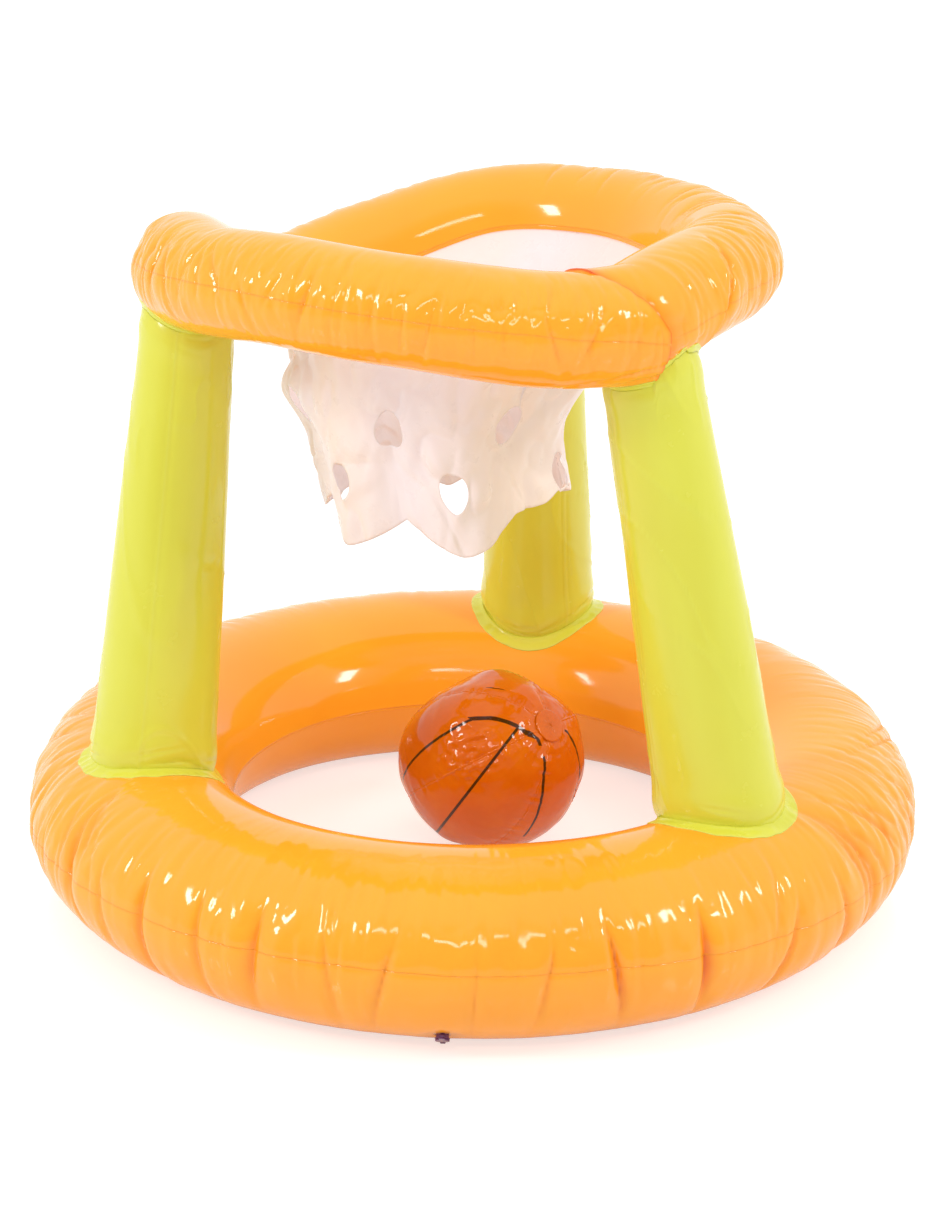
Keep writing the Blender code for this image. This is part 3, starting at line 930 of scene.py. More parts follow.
    def film(self, half: Half, material: Material) -> Piece:
        """One sheet of film as a closed body: outer face, a lap at each seam, inner face.

        Args:
            half: Which sheet.
            material: Its finish.

        Returns:
            The piece.
        """
        even, grid = np.linspace(0, TURN, ROUND_STEPS), self.grid
        theta = spaced(self.columns[half], 0, TURN, self.theta_density(even), True)[:, None]
        start = 0.0 if half is Half.UPPER else -math.pi
        arc = np.linspace(start, start + math.pi, ARC_STEPS)
        seams = fading(np.abs(np.sin(arc)), grid.seam_weight)
        weight = grid.least_weight + hill(arc, grid.outside) + seams
        phi = spaced(self.rows[half], start, start + math.pi, weight, False)[None, :]
        grid_theta, grid_phi = np.broadcast_arrays(self.slanted(theta, phi), phi)
        outer = self.points(grid_theta, grid_phi)
        outwards = self.stations(grid_theta[:, [0, -1]])[1]
        inward = -np.sign(np.cos(phi[0, [0, -1]]))
        steps = np.array(grid.lap_shares) * grid.lap
        first = outer[:, :1] + inward[0] * steps[::-1, None] * outwards[:, :1]
        last = outer[:, -1:] + inward[1] * steps[:, None] * outwards[:, 1:]
        ends = (start + math.pi - grid.inner_margin, start + grid.inner_margin)
        back = np.linspace(*ends, grid.inner_rows)[None, :]
        inner = self.points(self.slanted(theta, back), back, grid.wall)
        loop = self.settle(np.concatenate((first, outer, last, inner), axis=1))
        fold = np.zeros(loop.shape[:2])
        weld = np.zeros(loop.shape[:2])
        outer_part = slice(len(steps), len(steps) + phi.shape[1])
        # the fold mark: painted shade in the creases
        fold[:, outer_part] = self.shaded(grid_theta, wrapped(grid_phi))
        from_seam = np.abs(np.sin(grid_phi)) * self.half_width
        weld[:, outer_part] = np.exp(-((from_seam / self.relief.weld_mark_width) ** 2))
        name = f"{self.name}_{half.value}_film"
        faces = grid_faces(*loop.shape[:2], Wrap.TORUS)
        return new_piece(name, loop, faces, material, {"fold": fold, "weld": weld})


@dataclass
class BaseRing(FilmRing):
    """The base ring: round, level and pressed flat where it rests."""

    radius: float = 0.2585
    level: float = 0.0623
    floor_gap: float = 0.0003
    stretch: float = 0.0025
    stretch_angle: float = 135.0

    def reach(self, theta: Array) -> Array:
        """The centreline's radius: R + s cos 2(t - t_s), a little long to one side."""
        away = theta - math.radians(self.stretch_angle)
        return self.radius + self.stretch * np.cos(2 * away)

    def stations(self, theta: Array) -> Arrays:
        """The centreline, which is level and nearly a circle.

        Args:
            theta: Angles round the ring.

        Returns:
            Its points, outward and upward directions, and a mitre of 1.
        """
        outwards = np.stack((np.cos(theta), np.sin(theta), np.zeros_like(theta)), -1)
        upwards = np.broadcast_to((0.0, 0.0, 1.0), outwards.shape)
        centre = self.reach(theta)[..., None] * outwards + self.level * upwards
        return centre, outwards, upwards, np.ones_like(theta)

    def locate(self, points: Array) -> Arrays:
        """Cylinder coordinates round the ring's centreline.

        Args:
            points: The points.

        Returns:
            Their angles round the ring, and how far out and up they are from it.
        """
        theta = np.arctan2(points[..., 1], points[..., 0])
        across = np.hypot(points[..., 0], points[..., 1]) - self.reach(theta)
        return theta, across, points[..., 2] - self.level

    def settle(self, points: Array) -> Array:
        """Points brought up to the floor, then onto the valve's seat.

        Args:
            points: The points.

        Returns:
            The moved points.
        """
        points = points.copy()
        points[..., 2] = np.maximum(points[..., 2], self.floor_gap)
        return super().settle(points)


@dataclass
class Fold:
    """The hoop ring's sharp fold, where its front overhangs the stretch that follows it.

    On the outside, at distance s past the fold, the film rises by swell e^(s/a) before it,
    sinks by sink e^(-s/b) after it, and before it is pushed forwards by push e^(s/c). On the
    top it is the other way round: the stretch after the fold lies over the front. The line
    of the fold leans back by lean degrees for each degree of the section above lean_from, up
    to lean_most, and leans as far on the underside. The stretches of the section that it
    shows on are each a middle, a half width and a fade, in degrees.
    """

    angle: float = 304.6
    swell: float = 0.0075
    swell_length: float = 0.030
    sink: float = 0.0085
    sink_length: float = 0.014
    push: float = 0.0018
    push_length: float = 0.006
    top_step: float = 0.0014
    top_length: float = 0.010
    lean: float = 0.1
    lean_from: float = 10.0
    lean_most: float = 150.0
    lean_spread: float = 25.0
    under_from: float = 120.0
    under_fade: float = 45.0
    below: Triple = (-38.0, 94.0, 40.0)
    outside: Triple = (38.0, 58.0, 42.0)
    top: Triple = (92.0, 48.0, 30.0)
    grid_weight: Pair = (16.0, 0.0025)
    # how far the crevice's painted shade reaches past the fold's edge, and before it
    crevice_length: float = 0.0045
    edge_length: float = 0.0008


@dataclass
class HoopRing(FilmRing):
    """The hoop ring: it sags between the legs and folds over the right one."""

    radius: float = 0.192
    level: float = 0.475
    shift_x: float = -0.011
    shift_y: float = -0.0055
    sag: float = 0.029
    first_share: float = 20.0
    radius_shares: tuple[float, ...] = (
        1.0, 1.025, 1.03, 0.99, 1.005, 1.005, 0.965, 0.96, 0.98, 1.02, 0.985, 1.0,
    )
    rise_shares: tuple[float, ...] = (
        0.0, -0.1, -0.35, -1.2, -1.8, -0.4, 0.25, 0.65, 0.55, 0.2, 0.4, 0.25,
    )
    corner_angle: float = 306.0
    corner_spread: float = 30.0
    corner_power: float = 1.5
    corner_push: float = 0.06
    corner_drop: float = 0.1
    look_ahead: float = math.radians(0.5)
    end_swell: float = 0.0045
    end_round: Pair = (187.0, 24.0)
    end_section: Pair = (85.0, 70.0)
    located_steps: int = 2880
    fold: Fold = field(default_factory=Fold)

    def round_values(self, shares: Sequence[float], theta: Array) -> Array:
        """A smooth closed curve through shares at even angles: a Catmull-Rom spline.

        Args:
            shares: The shares, the first of them at first_share.
            theta: Angles round the ring.

        Returns:
            The curve's values.
        """
        shares = np.asarray(shares)
        count = len(shares)
        places = (theta - math.radians(self.first_share)) / (TURN / count) % count
        index = places.astype(int)
        t = places - index
        before, start, end, after = (shares[(index + k) % count] for k in (-1, 0, 1, 2))
        slope = (end - before) / 2
        bend = before - 2.5 * start + 2 * end - after / 2
        twist = (after - before) / 2 + 1.5 * (start - end)
        return start + slope * t + bend * t**2 + twist * t**3

    def centreline(self, theta: Array) -> Array:
        """Points of the centreline: a circle with uneven radius and height, and a corner.

        The corner adds (1 - |t - t_c| / spread)^power of its push and takes its drop.

        Args:
            theta: Angles round the ring.

        Returns:
            The points.
        """
        away = np.abs(wrapped(theta - math.radians(self.corner_angle)))
        corner = np.clip(1 - away / math.radians(self.corner_spread), 0, None)
        corner = corner**self.corner_power
        radius = self.radius * (
            self.round_values(self.radius_shares, theta) + self.corner_push * corner
        )
        rise = self.sag * (self.round_values(self.rise_shares, theta) - self.corner_drop * corner)
        x = self.shift_x + radius * np.cos(theta)
        y = self.shift_y + radius * np.sin(theta)
        return np.stack((x, y, self.level + rise), -1)

    def stations(self, theta: Array) -> Arrays:
        """The centreline with its directions, on the mitre of its two sides.

        Args:
            theta: Angles round the ring.

        Returns:
            Its points, outward and upward directions, and the mitre's widening.
        """
        here = self.centreline(theta)
        behind = unit(here - self.centreline(theta - self.look_ahead))
        ahead = unit(self.centreline(theta + self.look_ahead) - here)
        along = unit(behind + ahead)
        outwards = unit(np.cross(along, (0.0, 0.0, 1.0)))
        upwards = np.cross(outwards, along)
        mitre = 1 / np.sum(behind * along, -1)
        return here, outwards, upwards, mitre

    def locate(self, points: Array) -> Arrays:
        """The nearest of many stations round the centreline, and the offsets from it.

        Args:
            points: The points.

        Returns:
            Their angles round the ring, and how far out and up they are from it.
        """
        theta = np.arange(self.located_steps) * TURN / self.located_steps
        centre, outwards, upwards, mitre = self.stations(theta)
        flat = points.reshape(-1, 3)
        near = np.argmin(((flat[:, None] - centre[None]) ** 2).sum(-1), 1)
        offset = flat - centre[near]
        across = np.sum(offset * outwards[near], -1) / mitre[near]
        up = np.sum(offset * upwards[near], -1)
        shape = points.shape[:-1]
        return theta[near].reshape(shape), across.reshape(shape), up.reshape(shape)

    def fold_line(self, phi: Array) -> Array:
        """How far the fold's line leans from its angle.

        Args:
            phi: Angles round the section.

        Returns:
            The lean in radians round the ring.
        """
        fold = self.fold
        above = np.maximum(wrapped(phi) - math.radians(fold.lean_from), 0)
        below = np.maximum(-wrapped(phi) - math.radians(fold.under_from), 0)
        most = fold.lean * math.radians(fold.lean_most)
        under = eased(below / math.radians(fold.under_fade)) * most
        return -np.minimum(fold.lean * above, most) - under

    def slanted(self, theta: Array, phi: Array) -> Array:
        """Columns lean with the fold's line, less and less away from it."""
        away = wrapped(theta - math.radians(self.fold.angle)) / math.radians(self.fold.lean_spread)
        return theta + self.fold_line(phi) * np.exp(-(away**2))

    def fold_sides(self, phi: Array) -> Arrays:
        """How strongly the fold shows below, on the outside, and on the top."""
        return tuple(blended(phi, side) for side in (self.fold.below, self.fold.outside, self.fold.top))

    def past_fold(self, theta: Array, phi: Array) -> Array:
        """The distance past the fold, along the centreline."""
        line = math.radians(self.fold.angle) + self.fold_line(phi)
        return self.radius * wrapped(theta - line)

    def rise(self, theta: Array, phi: Array) -> Array:
        """The common film, with the fold and a fuller end over the left leg.

        Args:
            theta: Angles round the ring.
            phi: Angles round its section.

        Returns:
            The rise in metres, along the section's normal.
        """
        fold, past = self.fold, self.past_fold(theta, phi)
        below, outside, top = self.fold_sides(phi)
        ahead = past < 0
        before = np.exp(np.minimum(past, 0) / fold.swell_length) * ahead
        after = np.exp(-np.maximum(past, 0) / fold.sink_length) * ~ahead
        step = np.exp(-np.abs(past) / fold.top_length) * np.where(ahead, -1.0, 1.0)
        end = hill(theta, self.end_round) * hill(phi, self.end_section)
        rise = super().rise(theta, phi) + fold.swell * before * below + self.end_swell * end
        return rise - fold.sink * after * outside + fold.top_step * step * top

    def shift(self, theta: Array, phi: Array) -> Array:
        """The film before the fold is pushed over it, and on the top the film after it.

        Args:
            theta: Angles round the ring.
            phi: Angles round its section.

        Returns:
            The push along the ring, in metres.
        """
        past = self.past_fold(theta, phi)
        below, outside, top = self.fold_sides(phi)
        near = np.exp(-np.abs(past) / self.fold.push_length)
        front = np.maximum(below, outside) * (past < 0)
        return self.fold.push * near * (front - top * (past >= 0))

    def shaded(self, theta: Array, phi: Array) -> Array:
        """Painted shade in the creases, and in the crevice under the fold's edge.

        Args:
            theta: Angles round the ring.
            phi: Angles round its section.

        Returns:
            How strongly shade is painted there, from 0 to 1.
        """
        past = self.past_fold(theta, phi)
        below, outside, top = self.fold_sides(phi)
        length = np.where(past < 0, self.fold.edge_length, self.fold.crevice_length)
        # painted shade of the crevice, fading away on both sides of the fold's edge
        crevice = np.exp(-np.abs(past) / length) * np.maximum(np.maximum(below, outside), top)
        return np.maximum(super().shaded(theta, phi), crevice)

    def theta_density(self, theta: Array) -> Array:
        """Closer at the creases, and closest at the fold."""
        past = np.abs(self.radius * wrapped(theta - math.radians(self.fold.angle)))
        return super().theta_density(theta) + fading(past, self.fold.grid_weight)


@dataclass(frozen=True)
class EndRelief:
    """How a leg's film bulges at a height over a weld and tucks in at it, in metres."""

    bulge: Pair
    bulge_height: float
    tuck: Pair


@dataclass(frozen=True)
class Pinches:
    """The ranges that a leg's pinches are drawn from, in radians and metres."""

    count: int = 11
    half: Pair = (0.35, 0.8)
    level: Pair = (0.003, 0.016)
    slant: Pair = (-0.010, 0.010)
    depth: Pair = (0.0006, 0.0017)
    width: float = 0.0016
    top_share: float = 0.6


@dataclass(frozen=True)
class LegRelief:
    """How a leg's film stands out of the plain cone, in metres.

    Lattices are those of the swell, the wrinkles, the flange's rim and the creases, each a
    step of the seed and the cells round and along.
    """

    foot: EndRelief = EndRelief((0.0016, 0.011), 0.015, (0.0022, 0.0035))
    top: EndRelief = EndRelief((0.0012, 0.010), 0.013, (0.0016, 0.003))
    pinches: Pinches = Pinches()
    lattices: Lattices = ((0, 9, 7), (1, 26, 31), (2, 22, 3), (3, 6, 9))
    lattice_height: float = 0.5
    swell: float = 0.0007
    wrinkle: float = 0.00035
    wrinkle_reach: float = 0.05
    line: float = 0.0006
    line_sharpness: float = 16.0
    line_slants: Pair = (0.5, 0.3)
    weld_line: Pair = (0.0007, 0.0012)
    weld_groove: Pair = (0.0006, 0.004)
    # the dip that gets the full painted shade of the fold mark
    fold_depth: float = 0.0025
    weld_mark: Pair = (0.55, 0.0009)


@dataclass(frozen=True)
class FlangeSizes:
    """A leg's weld flanges: their section and how they are worked out, in metres.

    The section's points are shares of the flange's width out from the leg, and lifts over
    the ring's film in millimetres.
    """

    columns: int = 240
    foot_level: float = 0.060
    top_level: float = 0.040
    foot_search: float = 0.035
    top_search: float = 0.03
    ragged_share: float = 0.10
    reach_shares: tuple[float, ...] = (
        -0.12, 0.05, 0.18, 0.38, 0.62, 0.84, 0.95, 1.0, 0.97, 0.7, 0.3, -0.12,
    )
    lifts: tuple[float, ...] = (3.2, 2.1, 1.35, 1.0, 0.85, 0.8, 0.65, 0.3, -0.1, -0.5, -0.6, -0.8)
    wave: float = 0.0005
    wave_rounds: int = 3
    wave_row: float = 0.4
    wave_from_share: float = 0.3
    rim_mark: Pair = (0.8, 0.12)
    rim_share: float = 0.97


@dataclass
class LegSizes:
    """The sizes that the three legs share, in metres."""

    foot_radius: float = 0.0480
    top_radius: float = 0.0320
    foot_flange: float = 0.0085
    top_flange: float = 0.0022
    foot_inset: float = 0.008
    columns: int = 168
    rows: int = 130
    row_weight: float = 0.5
    foot_rows: Pair = (2.4, 0.06)
    top_rows: Pair = (1.6, 0.05)
    foot_level: float = 0.06
    top_level: float = 0.04
    foot_search: float = 0.03
    top_search: float = 0.025
    halvings: int = 16
    sunk: float = 0.002
    cap_sunk: float = 0.004
    cap_share: float = 0.5
    highest_share: float = 0.30


@dataclass
class Leg:
    """One leg: a tapered tube of film from the base ring to the hoop ring.

    A point at angle a round the leg and height h up its axis is
    F + h K + (r(h) + d(a, h)) (cos a * I + sin a * J), where F is the foot on the base
    ring's centreline, K the axis and I, J square to it. h runs from the base ring's film to
    the hoop ring's, which are found by halving along each line of the cone.
    """

    name: str
    foot_angle: float
    top_angle: float
    base: BaseRing
    hoop: HoopRing
    seam_angle: float
    seed: int
    sizes: LegSizes
    relief: LegRelief = LegRelief()
    flanges: FlangeSizes = FlangeSizes()

    def __post_init__(self) -> None:
        """Works out the axis, its two square directions, the noise and the pinches."""
        foot, top = math.radians(self.foot_angle), math.radians(self.top_angle)
        reach = self.base.radius - self.sizes.foot_inset
        self.foot = np.array((reach * math.cos(foot), reach * math.sin(foot), self.base.level))
        self.top = self.hoop.centreline(np.array([top]))[0]
        self.length = float(np.linalg.norm(self.top - self.foot))
        self.axis = (self.top - self.foot) / self.length
        self.side = unit(np.cross((0.0, 1.0, 0.0), self.axis))
        self.front = np.cross(self.axis, self.side)
        self.noise, self.wrinkles, self.rim, self.lines = noises(self.seed, self.relief.lattices)
        draw, pinches = np.random.default_rng(self.seed), self.relief.pinches
        ranges = ((0, TURN), pinches.half, pinches.level, pinches.slant, pinches.depth)
        self.pinches = [[draw.uniform(*ends) for ends in ranges] for _ in range(pinches.count)]

    def radial(self, angle: Array) -> Array:
        """Directions out from the axis."""
        return np.cos(angle)[..., None] * self.side + np.sin(angle)[..., None] * self.front

    def radius(self, height: Array) -> Array:
        """The plain cone's radius at a height."""
        share = height / self.length
        return self.sizes.foot_radius + (self.sizes.top_radius - self.sizes.foot_radius) * share

    def from_weld_line(self, angle: Array) -> Array:
        """How far angles are from the leg's weld line, in metres."""
        return np.abs(wrapped(angle - math.radians(self.seam_angle))) * self.sizes.foot_radius

    def met(self, ring: FilmRing, angle: Array, distance: Array, span: Pair) -> Array:
        """The heights at which lines along the axis meet a ring's film, by halving.

        Args:
            ring: The ring.
            angle: Angles round the axis.
            distance: Distances from the axis.
            span: A height on the foot side of the film and one on its top side.

        Returns:
            The heights.
        """
        start = self.foot + distance[..., None] * self.radial(angle)
        first, last = (np.full(angle.shape, height) for height in span)
        rising = ring is self.base
        for _ in range(self.sizes.halvings):
            middle = (first + last) / 2
            outside = ring.height(start + middle[..., None] * self.axis) > 0
            go_down = outside if rising else ~outside
            last = np.where(go_down, middle, last)
            first = np.where(go_down, first, middle)
        return (first + last) / 2

    def ends(self, angle: Array) -> Arrays:
        """The heights of the base ring's and of the hoop ring's film round the leg.

        Args:
            angle: Angles round the axis.

        Returns:
            The two heights at each angle.
        """
        sizes = self.sizes
        distance = self.radius(np.full_like(angle, sizes.foot_level))
        foot = self.met(self.base, angle, distance, (0.0, self.base.half_height + sizes.foot_search))
        distance = self.radius(np.full_like(angle, self.length - sizes.top_level))
        low = self.length - self.hoop.half_height - sizes.top_search
        return foot, self.met(self.hoop, angle, distance, (low, self.highest))

    @property
    def highest(self) -> float:
        """The height that the leg's film stays under beside the hoop ring."""
        return self.length - self.sizes.highest_share * self.hoop.half_height

    def tube(self, material: Material) -> Piece:
        """The leg's film, with its weld line, its pinches at both ends and closed inside.

        Args:
            material: Its finish.

        Returns:
            The piece.
        """
        sizes = self.sizes
        angle = np.arange(sizes.columns) * TURN / sizes.columns
        foot, top = self.ends(angle)
        share = np.linspace(0, 1, ARC_STEPS // 2 + 1)
        weight = sizes.row_weight + fading(share, sizes.foot_rows) + fading(1 - share, sizes.top_rows)
        share = spaced(sizes.rows, 0, 1, weight, False)[None, :]
        low, high = (foot - sizes.sunk)[:, None], (top + sizes.sunk)[:, None]
        height = low + (high - low) * share
        grid = np.broadcast_to(angle[:, None], height.shape)
        rise = self.rise(grid, height - foot[:, None], top[:, None] - height)
        points = self.foot + height[..., None] * self.axis
        points = points + (self.radius(height) + rise)[..., None] * self.radial(grid)
        caps = []
        for row, level in ((0, -sizes.cap_sunk), (-1, sizes.cap_sunk)):
            middle = points[:, row].mean(0)
            ring = middle + (points[:, row] - middle) * sizes.cap_share + level * self.axis
            caps.append(np.stack((ring, np.broadcast_to(middle + level * self.axis, ring.shape)), 1))
        points = np.concatenate((caps[0][:, ::-1], points, caps[1]), axis=1)
        faces = grid_faces(*points.shape[:2], Wrap.ROUND)
        faces = self.closed_poles(faces, points.shape[1])
        return new_piece(f"{self.name}_leg_film", points, faces, material, self.marks(grid, rise))

    @staticmethod
    def closed_poles(faces: Array, columns: int) -> Array:
        """Faces whose points at either pole are one point, so that the pole is closed.

        Args:
            faces: Four point numbers a face.
            columns: How many points in a row of the grid.

        Returns:
            The faces.
        """
        column = faces % columns
        faces = np.where(column == 0, 0, faces)
        return np.where(column == columns - 1, columns - 1, faces)

    def marks(self, angle: Array, rise: Array) -> dict[str, Array]:
        """The marks fold and weld on the tube's grid, with none on its caps.

        The fold mark is painted shade where the film dips in.

        Args:
            angle: Angles round the axis.
            rise: The film's rise at them.

        Returns:
            The marks by name.
        """
        size, caps = self.relief, ((0, 0), (2, 2))
        weld = rounded(self.from_weld_line(angle), size.weld_mark)
        # painted shade where the film dips in
        fold = np.clip(-rise / size.fold_depth, 0, 1)
        return {"fold": np.pad(fold, caps), "weld": np.pad(weld, caps)}

    def rise(self, angle: Array, above_foot: Array, below_top: Array) -> Array:
        """The film's rise over the plain cone.

        It bulges e^(-((h - h_b) / w_b)^2) beside each weld and tucks in e^(-h / w_t) at it,
        carries thin raised creases and a weld line, and has slanting pinches near both ends:
        depth * e^(-|s|/w) * hill(angle).

        Args:
            angle: Angles round the axis.
            above_foot: Heights over the base ring's film.
            below_top: Depths under the hoop ring's film.

        Returns:
            The rise in metres.
        """
        size, pinches = self.relief, self.relief.pinches
        u, v = angle / TURN, above_foot / size.lattice_height
        rise = size.swell * self.noise.at(u, v)
        rise += size.wrinkle * self.wrinkles.at(u, v) * np.exp(-above_foot / size.wrinkle_reach)
        lines = np.abs(self.lines.at(u + size.line_slants[0] * v, v + size.line_slants[1] * u))
        rise += size.line * np.clip(1 - size.line_sharpness * lines, 0, 1)
        for height, end in ((above_foot, size.foot), (below_top, size.top)):
            rise += rounded(height - end.bulge_height, end.bulge)
            rise -= fading(np.clip(height, 0, None), end.tuck)
        away = self.from_weld_line(angle)
        rise += rounded(away, size.weld_line) - rounded(away, size.weld_groove)
        for middle, half, level, slant, depth in self.pinches:
            line = level + slant * np.sin(wrapped(angle - middle))
            near = bump(angle, middle, half)
            rise -= fading(np.abs(above_foot - line), (depth, pinches.width)) * near
            top_depth = pinches.top_share * depth
            rise -= fading(np.abs(below_top - line), (top_depth, pinches.width)) * near
        return rise

    def flange(
        self, ring: FilmRing, end: str, width: float, material: Material
    ) -> Piece:
        """A weld flange: the leg's film turned out over a ring, as a closed strip.

        Its section runs from the leg's side over a small fillet, along the ring's film to a
        rounded rim, and back under it. Each point is a distance out from the leg and a
        height over the film that the line along the axis meets there.

        Args:
            ring: The ring that it lies on.
            end: foot or top.
            width: How far it reaches out from the leg.
            material: Its finish.

        Returns:
            The piece.
        """
        sizes = self.flanges
        angle = np.arange(sizes.columns) * TURN / sizes.columns
        foot_end = end == "foot"
        level = sizes.foot_level if foot_end else self.length - sizes.top_level
        inside = self.radius(np.full_like(angle, level))
        ragged = 1 + sizes.ragged_share * self.rim.at(angle / TURN, np.zeros_like(angle))
        reach, lift = np.array(sizes.reach_shares), np.array(sizes.lifts) * MILLIMETRE
        distance = inside[:, None] + width * ragged[:, None] * reach[None, :]
        grid = np.broadcast_to(angle[:, None], distance.shape)
        side = 1.0 if foot_end else -1.0
        if foot_end:
            span = (0.0, ring.half_height + sizes.foot_search)
        else:
            span = (self.length - ring.half_height - sizes.top_search, self.highest)
        height = self.met(ring, grid, distance, span)
        waves = self.rim.at(angle / TURN * sizes.wave_rounds, np.full_like(angle, sizes.wave_row))
        free = (reach > sizes.wave_from_share) * (lift > 0) * foot_end
        height = height + side * (lift[None, :] + sizes.wave * waves[:, None] * free)
        points = self.foot + height[..., None] * self.axis + distance[..., None] * self.radial(grid)
        rim = rounded(reach - sizes.rim_share, sizes.rim_mark) * foot_end
        weld = np.broadcast_to(rim, distance.shape)
        marks = {"weld": weld.copy(), "fold": np.zeros(distance.shape)}
        faces = grid_faces(*distance.shape, Wrap.TORUS)
        return new_piece(f"{self.name}_leg_{end}_weld", points, faces, material, marks)

    def build(self, material: Material) -> None:
        """Builds the leg's three pieces, in place of its CAD nodes.

        Args:
            material: Their finish.
        """
        name, sizes = self.name, self.sizes
        installed(self.tube(material), "stand", "leg_lime", f"{name}_leg")
        for ring, end, width in (
            (self.base, "foot", sizes.foot_flange),
            (self.hoop, "top", sizes.top_flange),
        ):
            piece = self.flange(ring, end, width, material)
            installed(piece, "stand", "leg_lime", f"{name}_leg_{end}_flange")


@dataclass(frozen=True)
class Crumple:
    """How the net's film stands out of its smooth form, in metres.

    Lattices are those of the pleats, the dents, the crinkle and the creases, each a step of
    the seed and the cells round and down.
    """

    lattices: Lattices = ((0, 15, 3), (1, 34, 7), (2, 90, 18), (3, 11, 5))
    pleat: float = 0.0055
    pleat_drop: float = 0.6
    pleat_stretch: float = 0.25
    crumple: float = 0.0052
    crumple_slant: float = 0.03
    crumple_stretch: float = 0.9
    crumple_level: float = 0.4
    free_drop: float = 0.12
    line: float = 0.0011
    line_sharpness: float = 7.0
    line_stretch: float = 0.5
    line_slants: Pair = (-0.09, 0.12)
    fine: float = 0.0008
    sheer_level: float = 0.4
    sheer_gain: float = 0.8
    sheer_offset: float = 0.1
    sheer_stretch: float = 0.2


@dataclass
class Net:
    """The net: one sheet of film that hangs from the hoop ring's inner seam.

    A point at angle t and drop q is W(t) + (H(t) - W(t)) (s, s, q) + 4 q (1 - q) b +
    d(t, q) O(t), where W is the weld under the hoop, H the scalloped hem,
    s = 1 - (1 - q)^power draws the film in, b bows it to one side, O points outwards and d
    is the crumple. Round each hole the grid's squares are drawn into rings, so that a square
    block of its cells becomes the hole, and is left out.
    """

    hoop: HoopRing
    lobes: int = 6
    notches: tuple[float, ...] = (249.0, 303.0, 362.0, 422.0, 482.0, 556.0)
    weld_band: float = 0.006
    length: float = 0.189
    hem_radius: float = 0.091
    hem_shift: float = -0.0035
    bow: float = -0.011
    draw_power: float = 2.6
    fold_depth: float = 0.005
    scallop: float = 0.024
    tip_power: float = 1.3
    lobe_shares: tuple[float, ...] = (1.0, -0.35, 0.9, 1.3, 1.1, 1.0)
    bulges: tuple[tuple[float, ...], ...] = (
        (352.0, 48.0, 0.38, 0.40, 0.017), (194.0, 36.0, 0.24, 0.20, -0.008),
        (192.0, 36.0, 0.52, 0.20, 0.011), (253.0, 24.0, 0.50, 0.45, 0.0018),
    )
    hole_width: float = 0.021
    hole_height: float = 0.027
    lobe_hole_rise: float = 0.048
    between_hole_rise: float = 0.094
    hole_reach: float = 2.3
    weld_gap: float = 0.0003
    crumple: Crumple = Crumple()
    columns: int = 540
    rows: int = 96
    seed: int = 31

    def __post_init__(self) -> None:
        """Draws the crumple's noise."""
        self.pleats, self.dents, self.fine, self.lines = noises(self.seed, self.crumple.lattices)

    def places(self, angle: Array) -> Arrays:
        """Where angles round the hoop are on the hem's lobes.

        Args:
            angle: The angles.

        Returns:
            How far they are from the tip of their lobe, 0 to 1, and the lobes' shares.
        """
        past = (np.degrees(angle) - self.notches[0]) % 360
        starts = [notch - self.notches[0] for notch in self.notches] + [360]
        place = np.interp(past, starts, np.arange(self.lobes + 1))
        shares = np.asarray(self.lobe_shares)[np.floor(place).astype(int) % self.lobes]
        return 2 * np.abs(place % 1 - 0.5), shares

    def ends(self, angle: Array) -> Arrays:
        """The weld's and the hem's points.

        Args:
            angle: Angles round the hoop.

        Returns:
            The points of both at each angle.
        """
        centre, outwards, upwards, mitre = self.hoop.stations(angle)
        across = -(self.hoop.half_width + self.weld_gap) * mitre[..., None]
        weld = centre + across * outwards - self.weld_band / 2 * upwards
        from_tip, shares = self.places(angle)
        scallop = self.scallop * shares * (1 - from_tip**self.tip_power)
        radius = self.hem_radius + self.fold_depth * np.cos(math.pi * from_tip)
        x = self.hoop.shift_x + self.hem_shift + radius * np.cos(angle)
        y = self.hoop.shift_y + radius * np.sin(angle)
        z = self.hoop.level - self.length + self.scallop - scallop
        return weld, np.stack((x, y, z), -1)

    def hung(self, angle: Array, q: Array) -> Array:
        """Points of the smooth net, without its crumple.

        Args:
            angle: Angles round the hoop.
            q: Drops, from 0 at the weld to 1 at the hem.

        Returns:
            The points.
        """
        weld, hem = self.ends(angle)
        drawn = 1 - (1 - np.clip(q, 0, 1)) ** self.draw_power
        points = weld + (hem - weld) * np.stack((drawn, drawn, q), -1)
        points[..., 0] += 4 * q * (1 - q) * self.bow
        out = np.zeros(points.shape[:-1])
        for middle, half, level, height, reach in self.bulges:
            out += reach * hill(angle, (middle, half)) * eased(1 - np.abs(q - level) / height)
        return points + out[..., None] * self.outward(angle)

    def holes(self) -> list[tuple[int, int, int, int]]:
        """Lays out the holes, one in each lobe and one over each notch.

        Returns:
            Each hole's middle and half size, as columns and rows of the grid.
        """
        low = self.hoop.level - self.length
        starts = np.array((*self.notches, self.notches[0] + 360))
        middles = (starts[:-1] + starts[1:]) / 2
        holes = []
        for places, rise in (
            (middles, self.lobe_hole_rise), (starts[:-1], self.between_hole_rise)
        ):
            for degrees in places:
                angle = np.array([math.radians(degrees)])
                weld, hem = self.ends(angle)
                drop = (weld[0, 2] - low - rise) / (weld[0, 2] - hem[0, 2])
                place = self.hung(angle, np.array([drop]))[0]
                radius = math.hypot(place[0] - self.hoop.shift_x, place[1] - self.hoop.shift_y)
                wide = self.hole_width / 2 / (radius * TURN / self.columns)
                high = self.hole_height / 2 / ((weld[0, 2] - hem[0, 2]) / (self.rows - 1))
                column = round(angle[0] / TURN * self.columns) % self.columns
                holes.append((column, round(drop * (self.rows - 1)), round(wide), round(high)))
        return holes

